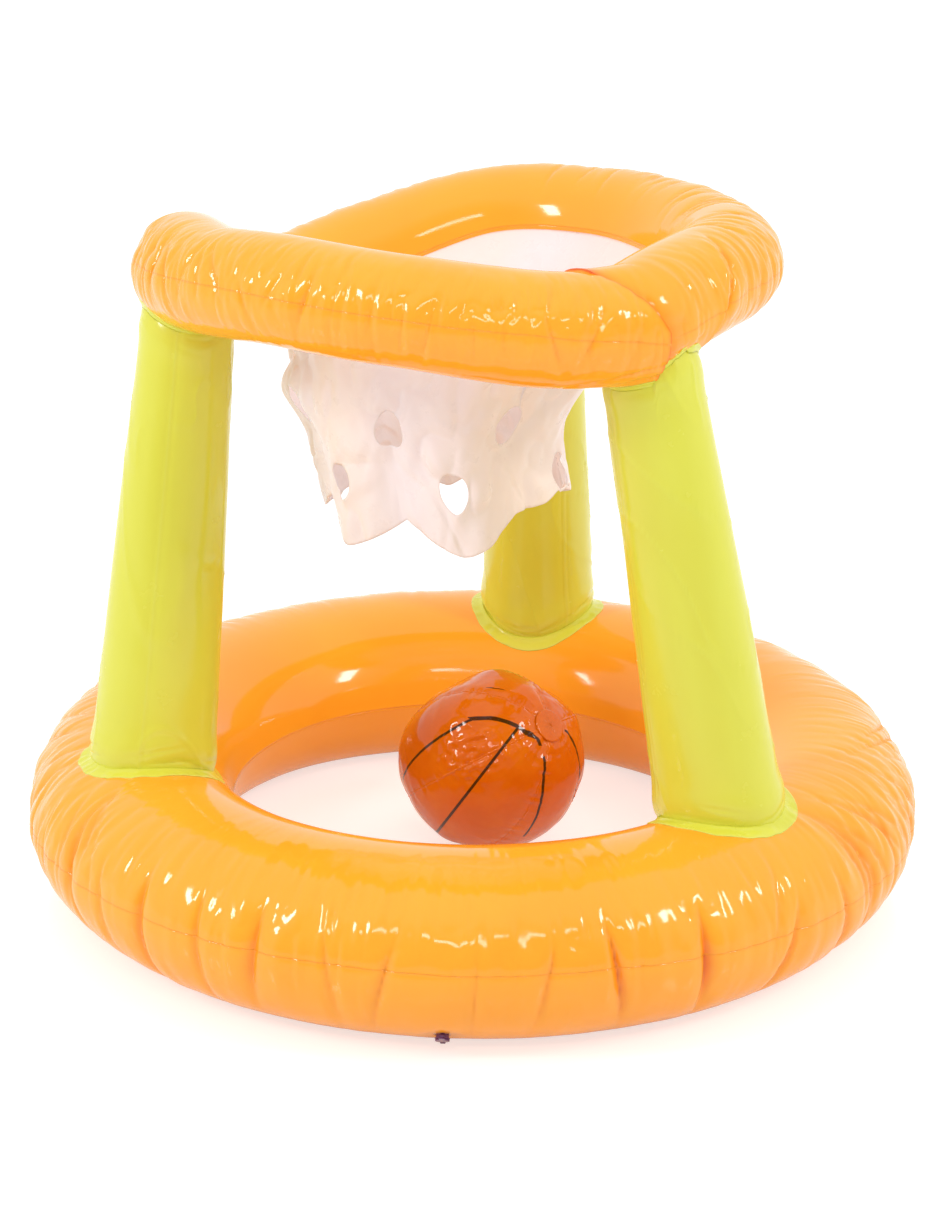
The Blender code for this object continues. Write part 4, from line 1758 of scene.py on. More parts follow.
    def sheet(self, outside: Material, inside: Material) -> Piece:
        """The net's film with its holes, and a wall and an inner side added by Solidify.

        Args:
            outside: The finish of its outer side.
            inside: The finish of its inner side, a darker copy of the outside's: painted shade.

        Returns:
            The piece.
        """
        column, row = np.meshgrid(np.arange(self.columns), np.arange(self.rows), indexing="ij")
        moved_column, moved_row = column.astype(float), row.astype(float)
        faces = grid_faces(self.columns, self.rows, Wrap.ROUND)
        keep = np.ones(len(faces), bool)
        for middle, level, wide, high in self.holes():
            half_round = self.columns // 2
            x = ((column - middle + half_round) % self.columns - half_round) / wide
            y = (row - level) / high
            square = np.maximum(np.abs(x), np.abs(y))
            ring = np.maximum(np.hypot(x, y), TINY)
            pull = eased(self.hole_reach - square) * (square / ring - 1)
            moved_column += pull * x * wide
            moved_row += pull * y * high
            keep &= ~(square.reshape(-1)[faces] <= 1 + TINY).all(1)
        angle = moved_column * TURN / self.columns
        q = moved_row / (self.rows - 1)
        points = self.hung(angle, q) + self.crumpled(angle, q)[..., None] * self.outward(angle)
        faces = faces[keep][:, ::-1]
        used, faces = np.unique(faces, return_inverse=True)
        faces = faces.reshape(-1, 4)
        size = self.crumple
        sheer = self.pleats.at(angle / TURN + size.sheer_offset, q * size.sheer_stretch)
        sheer = np.clip(size.sheer_level + size.sheer_gain * sheer, 0, 1)
        marks = {"sheer": sheer.reshape(-1)[used]}
        piece = new_piece("net_film", points.reshape(-1, 3)[used], faces, outside, marks, closed=False)
        # the inner side gets the darker copy of the film, which is painted shade
        piece.data.materials.append(inside)
        walled(piece, 0).material_offset = 1
        return piece

    def outward(self, angle: Array) -> Array:
        """Level directions out from the hoop's middle."""
        return np.stack((np.cos(angle), np.sin(angle), np.zeros_like(angle)), -1)

    def crumpled(self, angle: Array, q: Array) -> Array:
        """How far the film stands out: pleats, crumple, thin slanting creases and a crinkle.

        Each grows from nothing at the weld by an S-curve of the drop. The crumple is
        depth * (|noise| - level) and a crease is cut where |noise| is near zero.

        Args:
            angle: Angles round the hoop.
            q: Drops, from 0 at the weld to 1 at the hem.

        Returns:
            The distance in metres.
        """
        size, u = self.crumple, angle / TURN
        free = eased(q / size.free_drop)
        waves = size.pleat * eased(q / size.pleat_drop) * self.pleats.at(u, q * size.pleat_stretch)
        dents = self.dents.at(u + size.crumple_slant * q, q * size.crumple_stretch)
        waves = waves + size.crumple * free * (np.abs(dents) - size.crumple_level)
        for slant in size.line_slants:
            lines = np.abs(self.lines.at(u + slant * q, q * size.line_stretch + slant))
            line = np.clip(1 - size.line_sharpness * lines, 0, 1)
            waves = waves - size.line * free * line
        return waves + size.fine * free * self.fine.at(u, q)

    def build(self, outside: Material, inside: Material) -> None:
        """Builds the net in place of its CAD node."""
        piece = installed(self.sheet(outside, inside), "stand", "net_clear", "net")


@dataclass(frozen=True)
class PrintedArc:
    """A black line on the ball: the part of a plane's circle between two of its points."""

    start: Triple
    middle: Triple
    end: Triple

    def planes(self, sign: float) -> tuple[Array, float, Array, float]:
        """The plane of the three points, and the plane through the ends that bounds it.

        Args:
            sign: 1, or -1 for the line opposite it on the ball.

        Returns:
            The plane's direction and distance, and the bounding plane's.
        """
        a, b, c = (sign * unit(np.array(p)) for p in (self.start, self.middle, self.end))
        normal = unit(np.cross(b - a, c - b))
        bound = unit(np.cross(normal, c - a))
        if bound @ (b - a) < 0:
            bound = -bound
        return normal, float(normal @ a), bound, float(bound @ a)


@dataclass(frozen=True)
class BallFilm:
    """The ball's brown film: glossy, crinkled, with its printed black lines and a faint painted glow.
    """

    name: str
    colour: Triple
    light_colour: Triple
    line_colour: Triple
    centre: Triple
    radius: float
    arcs: tuple[PrintedArc, ...]
    line_width: float = 0.0022
    line_blur: float = 0.0002
    clouding: Cloud = Cloud(24, 4, (0.4, 0.75), (0.0, 1.0))
    haze: Cloud = Cloud(50, 4, (0.35, 0.7), (0.04, 0.10))
    crinkle: Grain = Grain(150, 4, 0.0004, 0.06)
    specular: float = 0.36
    painted_glow: float = 0.10

    def ink(self, graph: Graph) -> Socket:
        """Where the lines are: |n . P - c| under half their width, inside their bounds.

        Args:
            graph: The finish's graph.

        Returns:
            1 on a line and 0 beside it.
        """
        place = graph.add("ShaderNodeTexCoord").outputs["Object"]
        sockets = {0: place, 1: self.centre}
        offset = graph.add("ShaderNodeVectorMath", sockets, operation="SUBTRACT").outputs[0]
        ink: object = 0.0
        half = self.line_width / 2
        edge = (half - self.line_blur, half + self.line_blur)
        for arc, sign in ((arc, sign) for arc in self.arcs for sign in (1.0, -1.0)):
            normal, level, bound, limit = arc.planes(sign)
            across, along = (
                graph.add("ShaderNodeVectorMath", {0: offset, 1: tuple(v)}, operation="DOT_PRODUCT")
                for v in (normal, bound)
            )
            away = graph.math("SUBTRACT", across.outputs[1], level * self.radius)
            line = graph.ranged(graph.math("ABSOLUTE", away), edge, (1.0, 0.0))
            inside = graph.math("GREATER_THAN", along.outputs[1], limit * self.radius)
            ink = graph.math("MAXIMUM", ink, graph.math("MULTIPLY", line, inside))
        return ink

    def material(self) -> Material:
        """Wires the finish.

        Returns:
            The material.
        """
        graph = Graph(self.name)
        ink, clouding = self.ink(graph), graph.cloud(self.clouding)
        tint = graph.mix(clouding, opaque(self.colour), opaque(self.light_colour))
        printed = graph.mix(ink, tint, opaque(self.line_colour))
        # painted light: a faint emission of the film's own colour
        return graph.dress(
            printed, graph.cloud(self.haze), self.crinkle, Emission_Color=tint,
            Specular_IOR_Level=self.specular, Emission_Strength=self.painted_glow,
        )


@dataclass(frozen=True)
class BallRelief:
    """How the ball's film stands out of its sphere, in metres.

    Lattices are those of the waves, the crinkle, the gathers and the dents, each a step of
    the seed and the cells round and up. A hollow is the direction of its middle, its half
    width in degrees and its depth.
    """

    lattices: Lattices = ((0, 18, 9), (1, 64, 34), (2, 6, 70), (3, 104, 48))
    sink: float = 0.0011
    sink_width: float = 0.0045
    gather: float = 0.0009
    weld_line: Pair = (0.0006, 0.0006)
    wave: float = 0.0011
    crinkle: float = 0.0002
    dent: float = 0.0014
    dented: Triple = (-0.24, -0.88, 0.40)
    dented_reach: float = 0.46
    dented_gain: float = 1.6
    hollows: tuple[tuple[float, ...], ...] = (
        (-0.469, 0.305, 0.828, 60.0, 0.0090), (0.530, 0.293, 0.795, 36.0, 0.0065),
    )
    pole_gather: float = 0.0006
    pole_reach: float = 0.45
    pole_stretch: Pair = (2.0, 0.7)


@dataclass(frozen=True)
class PatchSizes:
    """A round patch over the ball's poles, in metres."""

    radius: float = 0.013
    columns: int = 120
    rings: int = 16
    inner_radius: float = 0.00005
    under_inset: float = 0.0001
    lift: float = 0.0009
    rim_lift: float = 0.0006
    under_lift: float = 0.0001
    crinkle: float = 0.00025
    crinkle_rounds: int = 2
    crinkle_length: float = 0.02
    flat_radius: float = 0.0085
    flat_lift: float = 0.0006
    least_sine: float = 0.5


@dataclass
class Ball:
    """The ball: six gores of film between two round patches.

    A gore's point at longitude a and latitude b is the sphere's, at the radius
    R - sink e^(-s/w) + crinkle, where s is the distance from the nearest gore seam.
    """

    radius: float = 0.072
    centre: Triple = (0.016, 0.044, 0.073)
    pole: Triple = (0.61, -0.54, 0.58)
    gores: int = 6
    first_latitude: float = 0.118
    relief: BallRelief = BallRelief()
    patches: PatchSizes = PatchSizes()
    valve_hole: float = 0.0048
    columns: int = 60
    rows: int = 180
    seed: int = 51

    def __post_init__(self) -> None:
        """Works out the turned axes and draws the noise."""
        quaternion = Vector(self.pole).to_track_quat("Z", "Y")
        self.turn = np.array(quaternion.to_matrix())
        self.middle = np.array(self.centre)
        self.waves, self.crinkle, self.gather, self.dents = noises(self.seed, self.relief.lattices)

    @staticmethod
    def directions(longitude: Array, latitude: Array) -> Array:
        """Directions at longitudes and latitudes, before the pole is turned."""
        flat = np.cos(latitude)
        return np.stack((flat * np.cos(longitude), flat * np.sin(longitude), np.sin(latitude)), -1)

    def placed(self, longitude: Array, latitude: Array, radius: Array) -> Array:
        """Points at longitudes, latitudes and radii round the ball's turned pole."""
        local = self.directions(longitude, latitude)
        return self.middle + (radius[..., None] * local) @ self.turn.T

    def away(self, local: Array, towards: Sequence[float]) -> Array:
        """The angles of unturned directions from a direction in the frame, in radians."""
        return np.arccos(np.clip(local @ self.turn.T @ unit(np.array(towards)), -1, 1))

    def surface(self, longitude: Array, latitude: Array) -> Array:
        """The film's radius: sunk and gathered along the gores' seams, crinkled between.

        Args:
            longitude: Angles round the pole.
            latitude: Angles up to the pole.

        Returns:
            The radius in metres.
        """
        width, size = TURN / self.gores, self.relief
        place = longitude % width
        from_seam = np.minimum(place, width - place) * self.radius * np.cos(latitude)
        u, v = longitude / TURN, latitude / math.pi + 0.5
        near = np.exp(-from_seam / size.sink_width)
        radius = self.radius - size.sink * near
        radius = radius + size.gather * near * self.gather.at(u, v)
        radius = radius + rounded(from_seam, size.weld_line)
        local = self.directions(longitude, latitude)
        share = 1 - self.away(local, size.dented) / size.dented_reach
        dented = eased(size.dented_gain * share)
        radius = radius + size.wave * self.waves.at(u, v) + size.crinkle * self.crinkle.at(u, v)
        radius = radius + size.dent * dented * self.dents.at(u, v)
        for *towards, half, depth in size.hollows:
            turned = self.away(local, towards)
            radius = radius - depth * eased(1 - turned / math.radians(half))
        pole = np.exp(-((math.pi / 2 - np.abs(latitude)) / size.pole_reach) ** 2)
        gathered = self.gather.at(u * size.pole_stretch[0], v * size.pole_stretch[1])
        return radius + size.pole_gather * pole * gathered

    def gore(self, number: int, material: Material) -> Piece:
        """One gore of film, from one patch to the other.

        Args:
            number: The gore's number, from 0.
            material: Its finish.

        Returns:
            The piece.
        """
        width = TURN / self.gores
        edge = np.linspace(-1, 1, self.columns)
        across = (np.sin(edge * math.pi / 2) + 1) / 2
        longitude = ((number + across) * width)[:, None]
        limit = math.pi / 2 - self.first_latitude
        latitude = np.linspace(-limit, limit, self.rows)[None, :]
        longitude, latitude = np.broadcast_arrays(longitude, latitude)
        points = self.placed(longitude, latitude, self.surface(longitude, latitude))
        faces = grid_faces(*longitude.shape, Wrap.OPEN)
        piece = new_piece(f"ball_gore_{number + 1}", points, faces, material, closed=False)
        walled(piece, -1)
        return piece

    def patch(
        self, name: str, sign: float, hole: float, material: Material
    ) -> Piece:
        """A round patch over the gores' points: a thin closed disc with a rounded rim.

        Args:
            name: The piece's name.
            sign: 1 at the pole, -1 opposite it.
            hole: The radius of the hole for the valve, or 0.
            material: Its finish.

        Returns:
            The piece.
        """
        size = self.patches
        angle = (np.arange(size.columns) * TURN / size.columns)[:, None]
        out = np.linspace(max(hole, size.inner_radius), size.radius, size.rings)
        reach = np.concatenate((out, out[::-1] - size.under_inset))[None, :]
        over, under = np.full(size.rings - 1, size.lift), np.full(size.rings, size.under_lift)
        lift = np.concatenate((over, (size.rim_lift,), under))[None, :]
        latitude = sign * (math.pi / 2 - reach / self.radius)
        longitude, latitude = np.broadcast_arrays(angle, latitude)
        rounds = longitude / TURN * size.crinkle_rounds
        crinkle = self.crinkle.at(rounds, reach / size.crinkle_length)
        radius = self.radius + lift + size.crinkle * crinkle
        level = math.sqrt(self.radius**2 - size.flat_radius**2)
        flat = level / np.maximum(np.abs(np.sin(latitude)), size.least_sine)
        radius = np.minimum(radius, flat + lift + size.flat_lift)
        points = self.placed(longitude, latitude, radius)
        return new_piece(name, points, grid_faces(*longitude.shape, Wrap.TORUS), material)

    def build(self, material: Material) -> None:
        """Builds the ball's gores and patches, in place of their CAD nodes.

        Args:
            material: Their finish.
        """
        for number in range(self.gores):
            piece = self.gore(number, material)
            installed(piece, "ball", "ball_tan", f"ball_panel_{number + 1}")
        piece = self.patch("ball_pole_patch", 1.0, 0.0, material)
        installed(piece, "ball", "ball_tan", "ball_end_patch")
        piece = self.patch("ball_valve_seat_patch", -1.0, self.valve_hole, material)
        installed(piece, "ball", "ball_tan", "ball_valve_patch")


@dataclass(frozen=True)
class ValveSizes:
    """The valves' radii, and their heights over the seat, in metres."""

    bore: float = 0.003
    stem: float = 0.0045
    collar: float = 0.00525
    collar_height: float = 0.001
    rise: float = 0.003
    under: float = -0.0007
    flange_height: float = 0.0008
    depth: float = 0.007
    axis: float = 0.0001
    flap: float = 0.004
    flap_top: float = -0.0073
    flap_bottom: float = -0.0077
    head: float = 0.005
    head_low: float = 0.0033
    head_high: float = 0.0045
    plug_root: float = 0.0027
    plug_neck: float = 0.0021
    plug_neck_drop: float = 0.0016
    plug_bulge: float = 0.0023
    plug_bulge_drop: float = 0.0022
    plug_tip: float = 0.0019
    plug_end: float = -0.002
    strap_width: float = 0.004
    strap_end: float = 0.010
    tab_sunk: float = 0.0006
    grip_end: float = -0.008
    ribs: Pair = (0.0055, 0.0067)
    rib_length: float = 0.0005
    rib_width: float = 0.0036
    rib_sunk: float = 0.0002
    rib_height: float = 0.0003


@dataclass
class Valve:
    """A filling valve: a turned body with a tab, a flap inside, and a stopper on a strap.

    Turned forms carry a profile of radius and height round the seat's Z. Bars carry a
    rounded section along Y.
    """

    owner: str
    body: str
    seat: Seat
    flange_radius: float
    sides: int = 48
    corner_cuts: int = 3
    near_share: float = 0.88
    far_share: float = 0.12
    bar_sides: int = 16
    bar_power: float = 0.35
    bar_place_shares: tuple[float, ...] = (
        0.0, 0.0, 0.02, 0.06, 0.12, 0.5, 0.88, 0.94, 0.98, 1.0, 1.0,
    )
    bar_size_shares: tuple[float, ...] = (
        0.01, 0.55, 0.8, 0.93, 1.0, 1.0, 1.0, 0.93, 0.8, 0.55, 0.01,
    )
    sizes: ValveSizes = ValveSizes()

    def turned(self, *profile: Pair) -> Arrays:
        """A closed profile, smoothed at its corners, turned round the seat's Z.

        Args:
            profile: The profile's radii and heights.

        Returns:
            The points and faces.
        """
        outline = self.smoothed(np.array(profile))
        angle, seat = np.arange(self.sides) * TURN / self.sides, self.seat
        radial = np.cos(angle)[:, None] * seat.x + np.sin(angle)[:, None] * seat.y
        out = outline[None, :, :1] * radial[:, None]
        points = seat.centre + out + outline[None, :, 1:] * seat.z
        return points, grid_faces(self.sides, len(outline), Wrap.TORUS)

    def smoothed(self, outline: Array) -> Array:
        """A closed outline with its corners cut, each edge at two shares of its length.

        Args:
            outline: The outline's points.

        Returns:
            The smoother outline's points.
        """
        near, far = self.near_share, self.far_share
        for _ in range(self.corner_cuts):
            after = np.roll(outline, -1, 0)
            cuts = (near * outline + far * after, far * outline + near * after)
            outline = np.stack(cuts, 1).reshape(-1, 2)
        return outline

    def bar(self, run: Pair, width: float, faces: Pair) -> Arrays:
        """A flat bar along Y with rounded edges and ends, as a closed grid.

        Its section is (sign cos a |cos a|^power, sign sin a |sin a|^power) times half its
        width and height, and it shrinks towards both ends.

        Args:
            run: Where it starts and ends along Y.
            width: Its width along X.
            faces: The heights of its lower and its upper face.

        Returns:
            The points and faces.
        """
        section, seat = np.arange(self.bar_sides) * TURN / self.bar_sides, self.seat
        (first, last), (low, high) = run, faces
        cosine, sine = np.cos(section), np.sin(section)
        across = np.sign(cosine) * np.abs(cosine) ** self.bar_power * width / 2
        up = np.sign(sine) * np.abs(sine) ** self.bar_power * (high - low) / 2
        size = np.array(self.bar_size_shares)[:, None]
        y = first + (last - first) * np.array(self.bar_place_shares)
        points = (
            seat.centre
            + (across[None, :] * size)[..., None] * seat.x
            + y[:, None, None] * seat.y
            + (up[None, :] * size**0.5 + (low + high) / 2)[..., None] * seat.z
        )
        faces = grid_faces(*points.shape[:2], Wrap.OPEN)
        index = np.arange(points.shape[0] * points.shape[1]).reshape(points.shape[:2])
        seam = np.stack((index[:-1, -1], index[1:, -1], index[1:, 0], index[:-1, 0]), -1)
        half = self.bar_sides // 2
        caps = []
        for row in (index[0], index[-1][::-1]):
            a, b = row[: half + 1], np.concatenate((row[:1], row[::-1][:half]))
            caps.append(np.stack((a[:-1], a[1:], b[1:], b[:-1]), -1))
        return points, np.vstack((faces, seam, *caps))

    @staticmethod
    def joined(*parts: Arrays) -> Arrays:
        """Several grids as one, each turned outwards.

        Args:
            parts: The points and faces of each.

        Returns:
            One list of points and one of faces.
        """
        points, faces, count = [], [], 0
        for part_points, part_faces in parts:
            flat = part_points.reshape(-1, 3)
            if volume(flat - flat.mean(0), part_faces) < 0:
                part_faces = part_faces[:, ::-1]
            points.append(flat)
            faces.append(part_faces + count)
            count += len(flat)
        return np.vstack(points), np.vstack(faces)

    def moulding(self) -> Arrays:
        """The valve's body: a bored stem with a collar, a flange under the film and a tab.

        Returns:
            The points and faces.
        """
        size, flange = self.sizes, self.flange_radius
        shoulder, foot = size.rise - size.collar_height, size.under - size.flange_height
        body = self.turned(
            (size.bore, size.rise), (size.collar, size.rise), (size.collar, shoulder),
            (size.stem, shoulder), (size.stem, size.under), (flange, size.under), (flange, foot),
            (size.stem, foot), (size.stem, -size.depth), (size.bore, -size.depth),
        )
        root = size.stem - size.tab_sunk
        tab = self.bar((root, size.strap_end), size.strap_width, (shoulder, size.rise))
        return self.joined(body, tab)

    def flap(self) -> Arrays:
        """The flap of film under the bore.

        Returns:
            The points and faces.
        """
        axis, edge = self.sizes.axis, self.sizes.flap
        top, bottom = self.sizes.flap_top, self.sizes.flap_bottom
        return self.turned((axis, top), (edge, top), (edge, bottom), (axis, bottom))

    def plug(self) -> Arrays:
        """The stopper: a ribbed plug under a round head, with its strap and its grip.

        Returns:
            The points and faces.
        """
        size = self.sizes
        low, high = size.head_low, size.head_high
        plug = self.turned(
            (size.axis, high), (size.head, high), (size.head, low), (size.plug_root, low),
            (size.plug_root, size.rise), (size.plug_neck, size.rise - size.plug_neck_drop),
            (size.plug_bulge, size.rise - size.plug_bulge_drop),
            (size.plug_tip, size.plug_end), (size.axis, size.plug_end),
        )
        strap = self.bar((size.grip_end, size.strap_end), size.strap_width, (low, high))
        faces = (high - size.rib_sunk, high + size.rib_height)
        ribs = [self.bar((-y - size.rib_length, -y), size.rib_width, faces) for y in size.ribs]
        return self.joined(plug, strap, *ribs)

    def build(self, moulded: Material, clear: Material) -> None:
        """Builds the valve's body, flap and stopper, in place of their CAD nodes.

        Args:
            moulded: The finish of the body and the stopper.
            clear: The finish of the flap.
        """
        name, stopper = f"{self.owner}_valve", f"{self.owner}_stopper"
        piece = new_piece(f"{name}_moulding", *self.moulding(), moulded)
        installed(piece, self.body, "valve_purple", name)
        piece = new_piece(f"{name}_flap_film", *self.flap(), clear)
        installed(piece, self.body, "net_clear", f"{name}_flap")
        piece = new_piece(f"{name}_plug", *self.plug(), moulded)
        installed(piece, stopper, "valve_purple", f"{name}_stopper")


@dataclass(frozen=True)
class Softbox:
    """An upright oblong lamp, with its sizes in metres and its power in watts."""

    name: str
    place: Triple
    width: float
    height: float
    power: float

    def build(self) -> Piece:
        """Makes the lamp.

        Returns:
            Its object, which isn't aimed yet.
        """
        lamp = bpy.data.lights.new(self.name, "AREA")
        lamp.shape = "RECTANGLE"
        lamp.energy = self.power
        lamp.size = self.width
        lamp.size_y = self.height
        thing = bpy.data.objects.new(self.name, lamp)
        bpy.context.scene.collection.objects.link(thing)
        thing.location = self.place
        return thing


@dataclass
class Studio:
    """A pale floor, a white world, three softboxes and the camera of the photograph."""

    camera_place: Triple = (-0.0071, -2.3590, 1.0796)
    aim: Triple = (-0.0007, 0.0, 0.2116)
    lens: float = 99.96
    sensor_width: float = 36.0
    world_light: float = 1.0
    dark_side: float = 0.35
    dark_from: float = 0.35
    dark_to: float = 0.80
    floor_size: float = 12.0
    floor_lift: float = 0.64
    floor_grey: float = 0.9
    lifted_grey: float = 0.55
    floor_roughness: float = 0.18
    floor_specular: float = 0.6
    gloss_share: float = 0.4
    softboxes: tuple[Softbox, ...] = (
        Softbox("left_softbox", (-2.15, -1.15, 1.80), 0.40, 0.75, 20),
        Softbox("right_softbox", (2.15, -1.15, 2.05), 0.40, 0.75, 18),
        Softbox("front_softbox", (0.0, -2.30, 1.90), 1.60, 0.22, 10),
    )

    def aimed(self, thing: Piece) -> None:
        """Turns a lamp or camera towards the toy."""
        direction = Vector(self.aim) - thing.location
        thing.rotation_euler = direction.to_track_quat("-Z", "Y").to_euler()

    def white_to_camera(self, graph: Graph) -> Socket:
        """Tells the rays that see the floor at full white.

        Args:
            graph: The floor's graph.

        Returns:
            1 for rays from the camera or a glass, less for a gloss, and 0 for the rest.
        """
        path = graph.add("ShaderNodeLightPath").outputs
        gloss = graph.math("MULTIPLY", path["Is Glossy Ray"], self.gloss_share)
        seen = graph.math("MAXIMUM", path["Is Camera Ray"], gloss)
        return graph.math("MAXIMUM", seen, path["Is Transmission Ray"])

    def floor(self) -> None:
        """A white floor that lifts to full white for the camera and keeps the shadow."""
        graph = Graph("studio_floor")
        seen = self.white_to_camera(graph)
        greys = (opaque((grey,) * 3) for grey in (self.floor_grey, self.lifted_grey))
        white = graph.dress(
            graph.mix(seen, *greys), self.floor_roughness, Specular_IOR_Level=self.floor_specular,
            Emission_Color=opaque(WHITE),
            Emission_Strength=graph.math("MULTIPLY", seen, self.floor_lift),
        )
        half = self.floor_size / 2
        corners = np.array(((-half, -half, 0), (half, -half, 0), (half, half, 0), (-half, half, 0)))
        faces = np.array(((0, 1, 2, 3),))
        piece = new_piece("studio_floor", corners, faces, white, closed=False)

    def world(self) -> None:
        """A white world, with a darker side behind the camera that only lights.

        The camera sees full white. As light, its strength at a direction with -Y share f
        runs from world_light down to dark_side as f rises from dark_from to dark_to.
        """
        world = bpy.data.worlds.new("studio_world")
        bpy.context.scene.world = world
        world.use_nodes = True
        tree = world.node_tree
        sky = tree.nodes["Background"]
        sky.inputs["Color"].default_value = opaque(WHITE)
        direction = tree.nodes.new("ShaderNodeTexCoord").outputs["Generated"]
        split = tree.nodes.new("ShaderNodeSeparateXYZ")
        tree.links.new(direction, split.inputs[0])
        side = tree.nodes.new("ShaderNodeMapRange")
        side.interpolation_type = "SMOOTHSTEP"
        tree.links.new(split.outputs["Y"], side.inputs[0])
        ends = (-self.dark_to, -self.dark_from, self.dark_side, self.world_light)
        for number, value in enumerate(ends, 1):
            side.inputs[number].default_value = value
        path = tree.nodes.new("ShaderNodeLightPath").outputs
        strength = tree.nodes.new("ShaderNodeMath")
        strength.operation = "MAXIMUM"
        tree.links.new(path["Is Camera Ray"], strength.inputs[0])
        tree.links.new(side.outputs[0], strength.inputs[1])
        tree.links.new(strength.outputs[0], sky.inputs["Strength"])

    def build(self) -> None:
        """Builds the stage, the lights and the camera."""
        self.floor()
        self.world()
        for softbox in self.softboxes:
            self.aimed(softbox.build())
        lens = bpy.data.cameras.new("camera")
        lens.lens = self.lens
        lens.sensor_width = self.sensor_width
        camera = bpy.data.objects.new("camera", lens)
        bpy.context.scene.collection.objects.link(camera)
        camera.location = self.camera_place
        self.aimed(camera)
        bpy.context.scene.camera = camera
        bpy.context.scene.view_settings.view_transform = "Standard"


# The second colour of the orange and lime films is painted crease shade, and each glow is painted light
ORANGE_FILM = VinylFilm(
    "orange_film", (1.0, 0.398, 0.024), (0.88, 0.15, 0.003), (0.98, 0.34, 0.02), painted_glow=0.10
)
LIME_FILM = VinylFilm(
    "lime_film", (0.66, 0.655, 0.064), (0.58, 0.51, 0.02), (0.65, 0.64, 0.10),
    haze=Cloud(34, 4, (0.35, 0.68), (0.14, 0.28)), painted_glow=0.14,
)
NET_FILM = MilkyFilm("net_film", (0.92, 0.825, 0.775), (0.89, 0.835, 0.87), 0.92, painted_glow=0.12)
# The net's inner side: a darker copy of its film, which is painted shade, with a stronger painted glow
NET_SHADED_INSIDE = MilkyFilm("net_film_shaded_inside", (0.83, 0.735, 0.70), (0.80, 0.735, 0.755), 0.92, painted_glow=0.14)
FLAP_FILM = MilkyFilm("flap_film", (0.90, 0.78, 0.72), (0.88, 0.80, 0.84), 0.7)
VALVE_VINYL = MouldedVinyl("valve_vinyl", (0.12, 0.03, 0.14), (0.2, 0.05, 0.2))
BALL_LINES = (
    PrintedArc((-0.95, -0.14, -0.29), (-0.60, -0.66, 0.46), (-0.21, -0.68, 0.70)),
    PrintedArc((-0.21, -0.68, 0.70), (0.27, -0.71, 0.64), (0.53, -0.74, 0.42)),
    PrintedArc((0.27, -0.73, 0.63), (-0.17, -0.98, 0.12), (-0.62, -0.35, -0.78)),
    PrintedArc((0.54, -0.77, 0.34), (0.55, -0.84, 0.0), (0.33, -0.68, -0.66)),
    PrintedArc((0.77, -0.43, 0.48), (0.94, -0.33, -0.02), (0.93, -0.24, -0.47)),
    PrintedArc((-0.27, -0.25, 0.93), (0.04, -0.34, 0.94), (0.19, -0.36, 0.91)),
)
# For each leg, degrees round the rings and round itself, a seed, and how far its foot is set in
LEG_FEET = {"back": 77.5, "left": 197.0, "right": 318.0}
LEG_TOPS = {"back": 72.0, "left": 187.0, "right": 308.5}
LEG_SEAMS = {"back": 300.0, "left": 262.0, "right": 200.0}
LEG_SEEDS = {"back": 61, "left": 71, "right": 81}
LEG_INSETS = {"back": -0.002, "left": 0.008, "right": 0.008}
# For each valve, the body that carries it and the radius of its flange
VALVES = {"base": ("stand", 0.008), "hoop": ("stand", 0.008), "ball": ("ball", 0.0082)}
# Where round each ring its outer seam is turned up, and by how many radians
BASE_SEAM_TURNS = (
    (20.0, 0.0), (160.0, 0.0), (188.0, 0.02), (209.0, 0.10), (226.0, 0.14), (254.0, 0.18),
    (271.0, 0.15), (286.0, 0.15), (298.0, 0.10), (310.0, 0.06), (322.0, 0.03), (343.0, -0.04),
)
HOOP_SEAM_TURNS = (
    (20.0, 0.0), (150.0, 0.0), (182.0, 0.24), (232.0, 0.19), (268.0, 0.14), (284.0, 0.16),
    (298.0, 0.0), (306.0, -0.16), (314.0, -0.08), (332.0, 0.0),
)


# Where the base ring's front creases cross its outer seam, and their depths in millimetres
FRONT_CREASES = (
    (209.5, 3.6), (217.5, 3.2), (225.5, 6.0), (235.1, 4.2), (243.2, 6.0), (252.6, 3.4),
    (259.8, 4.0), (270.5, 3.0), (279.0, 4.2), (287.0, 7.0), (298.4, 8.5), (311.9, 5.6),
    (321.7, 5.0), (328.2, 4.0),
)
FRONT_PLEATS = PleatRanges((0.0020, 0.0030), (-18, -2), (42, 58), (-0.05, 0.05))
BASE_PLEATS = PleatRanges((0.0014, 0.0026), (-20, 12), (38, 62), (-0.06, 0.06), (0.0014, 0.0034))
FAN_PLEATS = PleatRanges((0.0022, 0.0042), (15, 42), (38, 62), (-0.03, 0.03), (0.45, 1.5))
# For each leg's foot, the seed, the angle, the pleats' offsets, their depth and their pull
BASE_FANS = (
    (11, 318.0, (-9, 9, 12, 15, 18, 21, 24, 27, 30, 34, 38, 43, 48, 54, 60), 0.0028, 0.66),
    (12, 197.0, (-46, -38, -31, -26, -21, -17, -13, -9, 9, 12, 15, 19), 0.0022, 0.6),
    (13, 77.5, (-40, -32, -25, -19, -14, -9, 9, 14, 19, 25, 32, 40), 0.0022, 0.6),
)
SEAM_PLEATS = PleatRanges((0.0013, 0.0024), (-12, 12), (32, 56), (-0.08, 0.08), (0.0010, 0.0030))
BACK_PLEATS = PleatRanges((0.0011, 0.0020), (72, 108), (40, 64), (-0.16, 0.02), (0.0010, 0.0026))
END_PLEATS = PleatRanges((0.0018, 0.0028), (0, 34), (44, 66), (-0.1, 0.1), (0.0020, 0.0038))
END_ANGLES = (172, 178, 184, 190, 195, 200, 206, 213, 224)
